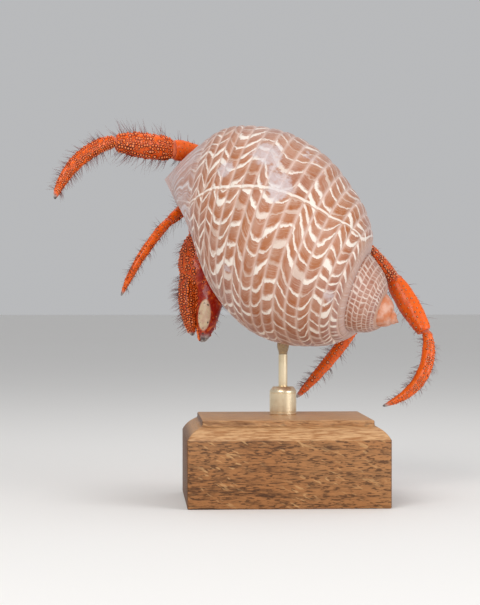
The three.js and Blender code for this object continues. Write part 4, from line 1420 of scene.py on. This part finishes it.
# place, size and colour of the lights; their powers are settings
LIGHTS = {"key": ((-0.40, -0.78, 0.74), 0.55, (1.0, 0.985, 0.965)),
          "fill": ((0.72, -0.62, 0.42), 0.60, (0.99, 0.99, 1.0)),
          "top": ((0.05, 0.25, 0.85), 0.60, (1.0, 1.0, 1.0))}
LIGHTS_AIM = Vector((0, 0, 0.10))
CAMERA_AT, CAMERA_TILT, CAMERA_SWING = (-0.07068, -0.91384, 0.09774), 90 - 0.46, -3.19
SENSOR, LENS = 36.0, 119.17


class SPECIMEN_OT_block(bpy.types.Operator):
    """Cut the hardwood block: a sawn block with a moulded shoulder and a flat top"""
    bl_idname = "specimen.block"
    bl_label = "Block"

    def execute(self, context):
        look = context.scene.specimen_stand
        b = BLOCK
        width, depth, shoulder = b["width"], b["depth"], b["shoulder"]
        clear_selection()
        bpy.ops.mesh.primitive_cube_add(size=MM, location=(0, 0, shoulder / 2 * MM),
                                        scale=(width, depth, shoulder))
        block = added("hardwood_block")
        bpy.ops.object.transform_apply(location=True, rotation=True, scale=True)
        steps = [(0.0, shoulder)]
        for t in np.linspace(0.1, 1, 10):
            bulge = b["bulge"] * 4 * t * (1 - t)
            steps.append((b["inset"] * t - bulge * 0.66,
                          shoulder + (b["moulding"] - shoulder) * t + bulge * 0.75))
        steps.append((b["inset"], b["top"]))
        with editing():
            bpy.ops.mesh.select_mode(type="FACE")
            for face in bmesh.from_edit_mesh(block.data).faces:
                face.select_set(face.normal.z > 0.9)
            bmesh.update_edit_mesh(block.data)
            extrude_through([(0, 0, height, width - 2 * inset, depth - 2 * inset)
                             for inset, height in steps])
        apply_modifier(block, "BEVEL", width=look.edge, segments=3, limit_method="ANGLE",
                       angle_limit=math.radians(40), harden_normals=False)
        close_up(block, 35)
        settle(block, wood_finish(look), "wood", "stand_base")
        return {"FINISHED"}


def lathe(name, profile, segments=96):
    """Turn a solid round the post's axis: from a disc through (radius, height) steps."""
    clear_selection()
    x, y = POST
    radius, height = profile[0]
    bpy.ops.mesh.primitive_circle_add(vertices=segments, radius=radius * MM, fill_type="NGON",
                                      location=(x * MM, y * MM, height * MM))
    piece = added(name)
    with editing():
        extrude_through([(x, y, z, r, r) for r, z in profile])
    close_up(piece, 28)
    return piece


class SPECIMEN_OT_post(bpy.types.Operator):
    """Turn the brass ferrule and rod, and pour the resin cup that holds the shell"""
    bl_idname = "specimen.post"
    bl_label = "Rod, ferrule and resin"

    def execute(self, context):
        look = context.scene.specimen_stand
        z = BLOCK["top"]
        top = z + FERRULE
        ferrule = lathe("ferrule", [
            (5.9, z), (6.2, z + 0.25), (6.2, z + 1.1), (6.02, z + 1.2), (6.02, z + 1.45),
            (6.2, z + 1.55), (6.2, top - 3.1), (6.04, top - 3.0), (6.04, top - 2.75),
            (6.2, top - 2.65), (6.2, top - 2.1), (6.08, top - 1.8), (4.9, top - 0.25),
            (4.6, top), (3.4, top), (2.35, top - 0.02), (2.3, top - 0.5)])
        settle(ferrule, brass_finish(look), "brass", "stand_ferrule")
        rod = lathe("rod", [(2.0, top - 0.4), (2.05, top), (2.05, 64.9), (2.05, 66.3), (1.6, 66.9)],
                    64)
        settle(rod, brass_finish(look, "satin_brass_rod"), "brass", "stand_rod")
        cup = lathe("resin_cup", [
            (2.08, 66.3), (2.15, 66.8), (2.3, 67.6), (2.5, 68.5), (2.65, 69.6), (2.75, 70.6),
            (2.75, 71.6), (2.6, 72.6)], 48)
        roughened(cup, 0.25, 2.2, 4)
        bpy.ops.object.shade_smooth()
        settle(cup, glue_finish(look), "glue", "stand_saddle")
        return {"FINISHED"}


class SPECIMEN_OT_shell(bpy.types.Operator):
    """Grow the tun shell: one corded profile swept and scaled about its axis"""
    bl_idname = "specimen.shell"
    bl_label = "Shell"

    def execute(self, context):
        look = context.scene.specimen_shell
        points, faces, lining, deg, f = shell_mesh(look.groove_depth, look.lip_wall)
        shell = mesh_piece("tun_shell", points, faces)
        cord, phase, wear, scar, pale = shell_markings(deg, f)
        high = 0.55 * (1 - smoothstep(f, 0.05, 0.16)) + 0.25 * smoothstep(f, 0.6, 0.75)
        paint(shell, cord=cord, phase=phase, degree=deg, wear=wear, scar=scar, pale=pale, high=high)
        settle(shell, (shell_finish(look), lining_finish(look)), "shell", "shell")
        shell.data.polygons.foreach_set("material_index", lining.astype(np.int32))
        make_active(shell)
        with editing():
            bpy.ops.mesh.select_all(action="SELECT")
            bpy.ops.mesh.normals_make_consistent(inside=False)
        bpy.ops.object.shade_smooth_by_angle(angle=math.radians(42))
        return {"FINISHED"}


def slot_of(limb):
    return "claw" if limb.startswith("claw") else "leg"


class SPECIMEN_OT_limbs(bpy.types.Operator):
    """Model the plates of the walking legs and claws, with joint skins, tubercles and setae"""
    bl_idname = "specimen.limbs"
    bl_label = "Legs and claws"

    def execute(self, context):
        look, scene = context.scene.specimen_crab, context.scene
        crust, skin, hair = crust_finish(look), membrane_finish(look), seta_finish(look)
        limbs = {}
        for limb, number, *plate in all_plates():
            piece = build_plate(limb, number, *plate)
            settle(piece, crust, slot_of(limb), f"{limb}_{plate[0]}")
            limbs.setdefault(limb, []).append((*plate, piece))
        context.view_layer.update()
        for number, (limb, plates) in enumerate(limbs.items()):
            rng = np.random.default_rng(scene.specimen_stage.seed + number)
            settle(joint_skins(limb, plates), skin, slot_of(limb))
            settle(tubercles(limb, plates, look, rng), crust, slot_of(limb))
            settle(setae(limb, plates, look, rng), hair, slot_of(limb))
        return {"FINISHED"}


class SPECIMEN_OT_trunk(bpy.types.Operator):
    """Model the soft trunk as one skin, and the shield over its front"""
    bl_idname = "specimen.trunk"
    bl_label = "Trunk and shield"

    def execute(self, context):
        look = context.scene.specimen_crab
        trunk = cad_copy("soft_trunk", "thorax", "abdomen")
        apply_modifier(trunk, "DISPLACE", strength=0.25 * MM, mid_level=0.0)
        apply_modifier(trunk, "REMESH", mode="VOXEL", voxel_size=0.6 * MM)
        apply_modifier(trunk, "SMOOTH", factor=0.6, iterations=10)
        roughened(trunk, 0.5, 1.8, 2)
        bpy.ops.object.shade_smooth()
        settle(trunk, membrane_finish(look, "soft_skin"), "soft_body", "thorax", "abdomen")
        shield = cad_copy("shield_plate", "shield")
        apply_modifier(shield, "REMESH", mode="VOXEL", voxel_size=0.3 * MM)
        apply_modifier(shield, "SMOOTH", factor=0.6, iterations=8)
        local = np.array([(BODY.inverted() @ Vector(p))[:] for p in points_of(shield) / MM])
        oval = np.hypot(local[:, 0] / 6.2, (local[:, 1] - 2.0) / 7.0)
        groove = np.exp(-((oval - 0.78) / 0.07) ** 2)
        groove *= smoothstep(local[:, 2], 0.5, 2.0) * smoothstep(-local[:, 1], -6.5, -1.5)
        middle = np.exp(-(local[:, 0] / 0.5) ** 2) * smoothstep(local[:, 1], -6, -1)
        sink = (0.45 * groove + 0.15 * middle)[:, None] * (np.array(UP) * MM)
        move_points(shield, points_of(shield) - sink)
        roughened(shield, 0.2, 1.6, 6)
        paint(shield, tone=0.25 + 0.5 * groove, spot=0, tip=0, cream=0)
        bpy.ops.object.shade_smooth()
        settle(shield, crust_finish(look, "shield_crust"), "shield", "shield")
        return {"FINISHED"}


class SPECIMEN_OT_head(bpy.types.Operator):
    """Model the eyestalks, eyes, feelers, mouthparts and small fourth legs"""
    bl_idname = "specimen.head"
    bl_label = "Head and small limbs"

    def execute(self, context):
        look = context.scene.specimen_crab
        crust, eye = crust_finish(look, "smooth_crust"), eye_finish()
        hairy = []
        for side, word in ((-1, "left"), (1, "right")):
            for kind in APPENDAGES:
                piece = appendage(kind, side, word)
                settle(piece, crust, "mouthparts_and_feelers", f"{kind}_{word}")
                if kind in HEAD_SETAE:
                    hairy.append((kind, side, piece))
            clear_selection()
            bpy.ops.mesh.primitive_uv_sphere_add(segments=40, ring_count=24, radius=MM)
            cornea = added(f"eye_{word}")
            with editing():
                bpy.ops.transform.resize(value=(EYE_RADIUS * 0.93, EYE_RADIUS * 0.93,
                                                EYE_RADIUS * 1.04))
            stalk = bends_of("eyestalk", side)
            look_way = (BODY.to_3x3() @ (stalk[2] - stalk[1])).normalized()
            centre = BODY @ Vector((side * EYE_AT[0], EYE_AT[1], EYE_AT[2]))
            cornea.data.transform(in_metres(seat(centre, look_way, RIGHT)))
            bpy.ops.object.shade_smooth()
            settle(cornea, eye, "eye", f"cornea_{word}")
        rng = np.random.default_rng(context.scene.specimen_stage.seed + HEAD_SEED)
        settle(head_setae(hairy, look, rng), seta_finish(look, "head_setae"),
               "mouthparts_and_feelers")
        return {"FINISHED"}


class SPECIMEN_OT_stage(bpy.types.Operator):
    """Set the floor, the soft lights and the camera"""
    bl_idname = "specimen.stage"
    bl_label = "Stage"

    def execute(self, context):
        look, scene = context.scene.specimen_stage, context.scene
        clear_selection()
        bpy.ops.mesh.primitive_plane_add(size=12)
        floor = context.object
        floor.name = "floor"
        floor.data.materials.append(floor_finish(look))
        for name, (place, size, colour) in LIGHTS.items():
            bpy.ops.object.light_add(type="AREA", location=place)
            lamp = context.object
            lamp.name = name
            lamp.data.shape, lamp.data.size = "SQUARE", size
            lamp.data.energy, lamp.data.color = getattr(look, name), colour
            aim = LIGHTS_AIM - Vector(place)
            lamp.rotation_euler = aim.to_track_quat("-Z", "Y").to_euler()
        world = scene.world or bpy.data.worlds.new("air")
        scene.world = world
        scene.view_settings.view_transform = "Standard"
        world.use_nodes = True
        air = world.node_tree.nodes["Background"]
        air.inputs["Color"].default_value = (0.93, 0.94, 0.96, 1)
        air.inputs["Strength"].default_value = look.air
        bpy.ops.object.camera_add(location=CAMERA_AT, rotation=(
            math.radians(CAMERA_TILT), 0, math.radians(CAMERA_SWING)))
        camera = context.object
        camera.name = "camera"
        camera.data.sensor_width, camera.data.lens = SENSOR, LENS
        camera.data.clip_start, camera.data.clip_end = 0.01, 20
        scene.camera = camera
        return {"FINISHED"}


STEPS = (SPECIMEN_OT_stage, SPECIMEN_OT_block, SPECIMEN_OT_post, SPECIMEN_OT_shell,
         SPECIMEN_OT_limbs, SPECIMEN_OT_trunk, SPECIMEN_OT_head)


class SPECIMEN_PT_panel(bpy.types.Panel):
    """The specimen's pieces and settings"""
    bl_idname = "SPECIMEN_PT_panel"
    bl_label = "Mounted Hermit Crab"
    bl_space_type = "VIEW_3D"
    bl_region_type = "UI"
    bl_category = "Specimen"

    def draw(self, context):
        for step in STEPS:
            self.layout.operator(step.bl_idname)
        for group in (context.scene.specimen_shell, context.scene.specimen_crab,
                      context.scene.specimen_stand, context.scene.specimen_stage):
            box = self.layout.box()
            for key in group.bl_rna.properties.keys():
                if key not in ("rna_type", "name"):
                    box.prop(group, key)


SETTINGS = {"specimen_shell": ShellSettings, "specimen_crab": CrabSettings,
            "specimen_stand": StandSettings, "specimen_stage": StageSettings}


def register():
    for one in (*SETTINGS.values(), *STEPS, SPECIMEN_PT_panel):
        bpy.utils.register_class(one)
    for name, group in SETTINGS.items():
        setattr(bpy.types.Scene, name, PointerProperty(type=group))


def unregister():
    for name in SETTINGS:
        delattr(bpy.types.Scene, name)
    for one in reversed((*SETTINGS.values(), *STEPS, SPECIMEN_PT_panel)):
        bpy.utils.unregister_class(one)


def main():
    register()
    bpy.ops.specimen.stage()
    bpy.ops.specimen.block()
    bpy.ops.specimen.post()
    bpy.ops.specimen.shell()
    bpy.ops.specimen.limbs()
    bpy.ops.specimen.trunk()
    bpy.ops.specimen.head()
    clear_selection()


if __name__ == "__main__":
    main()
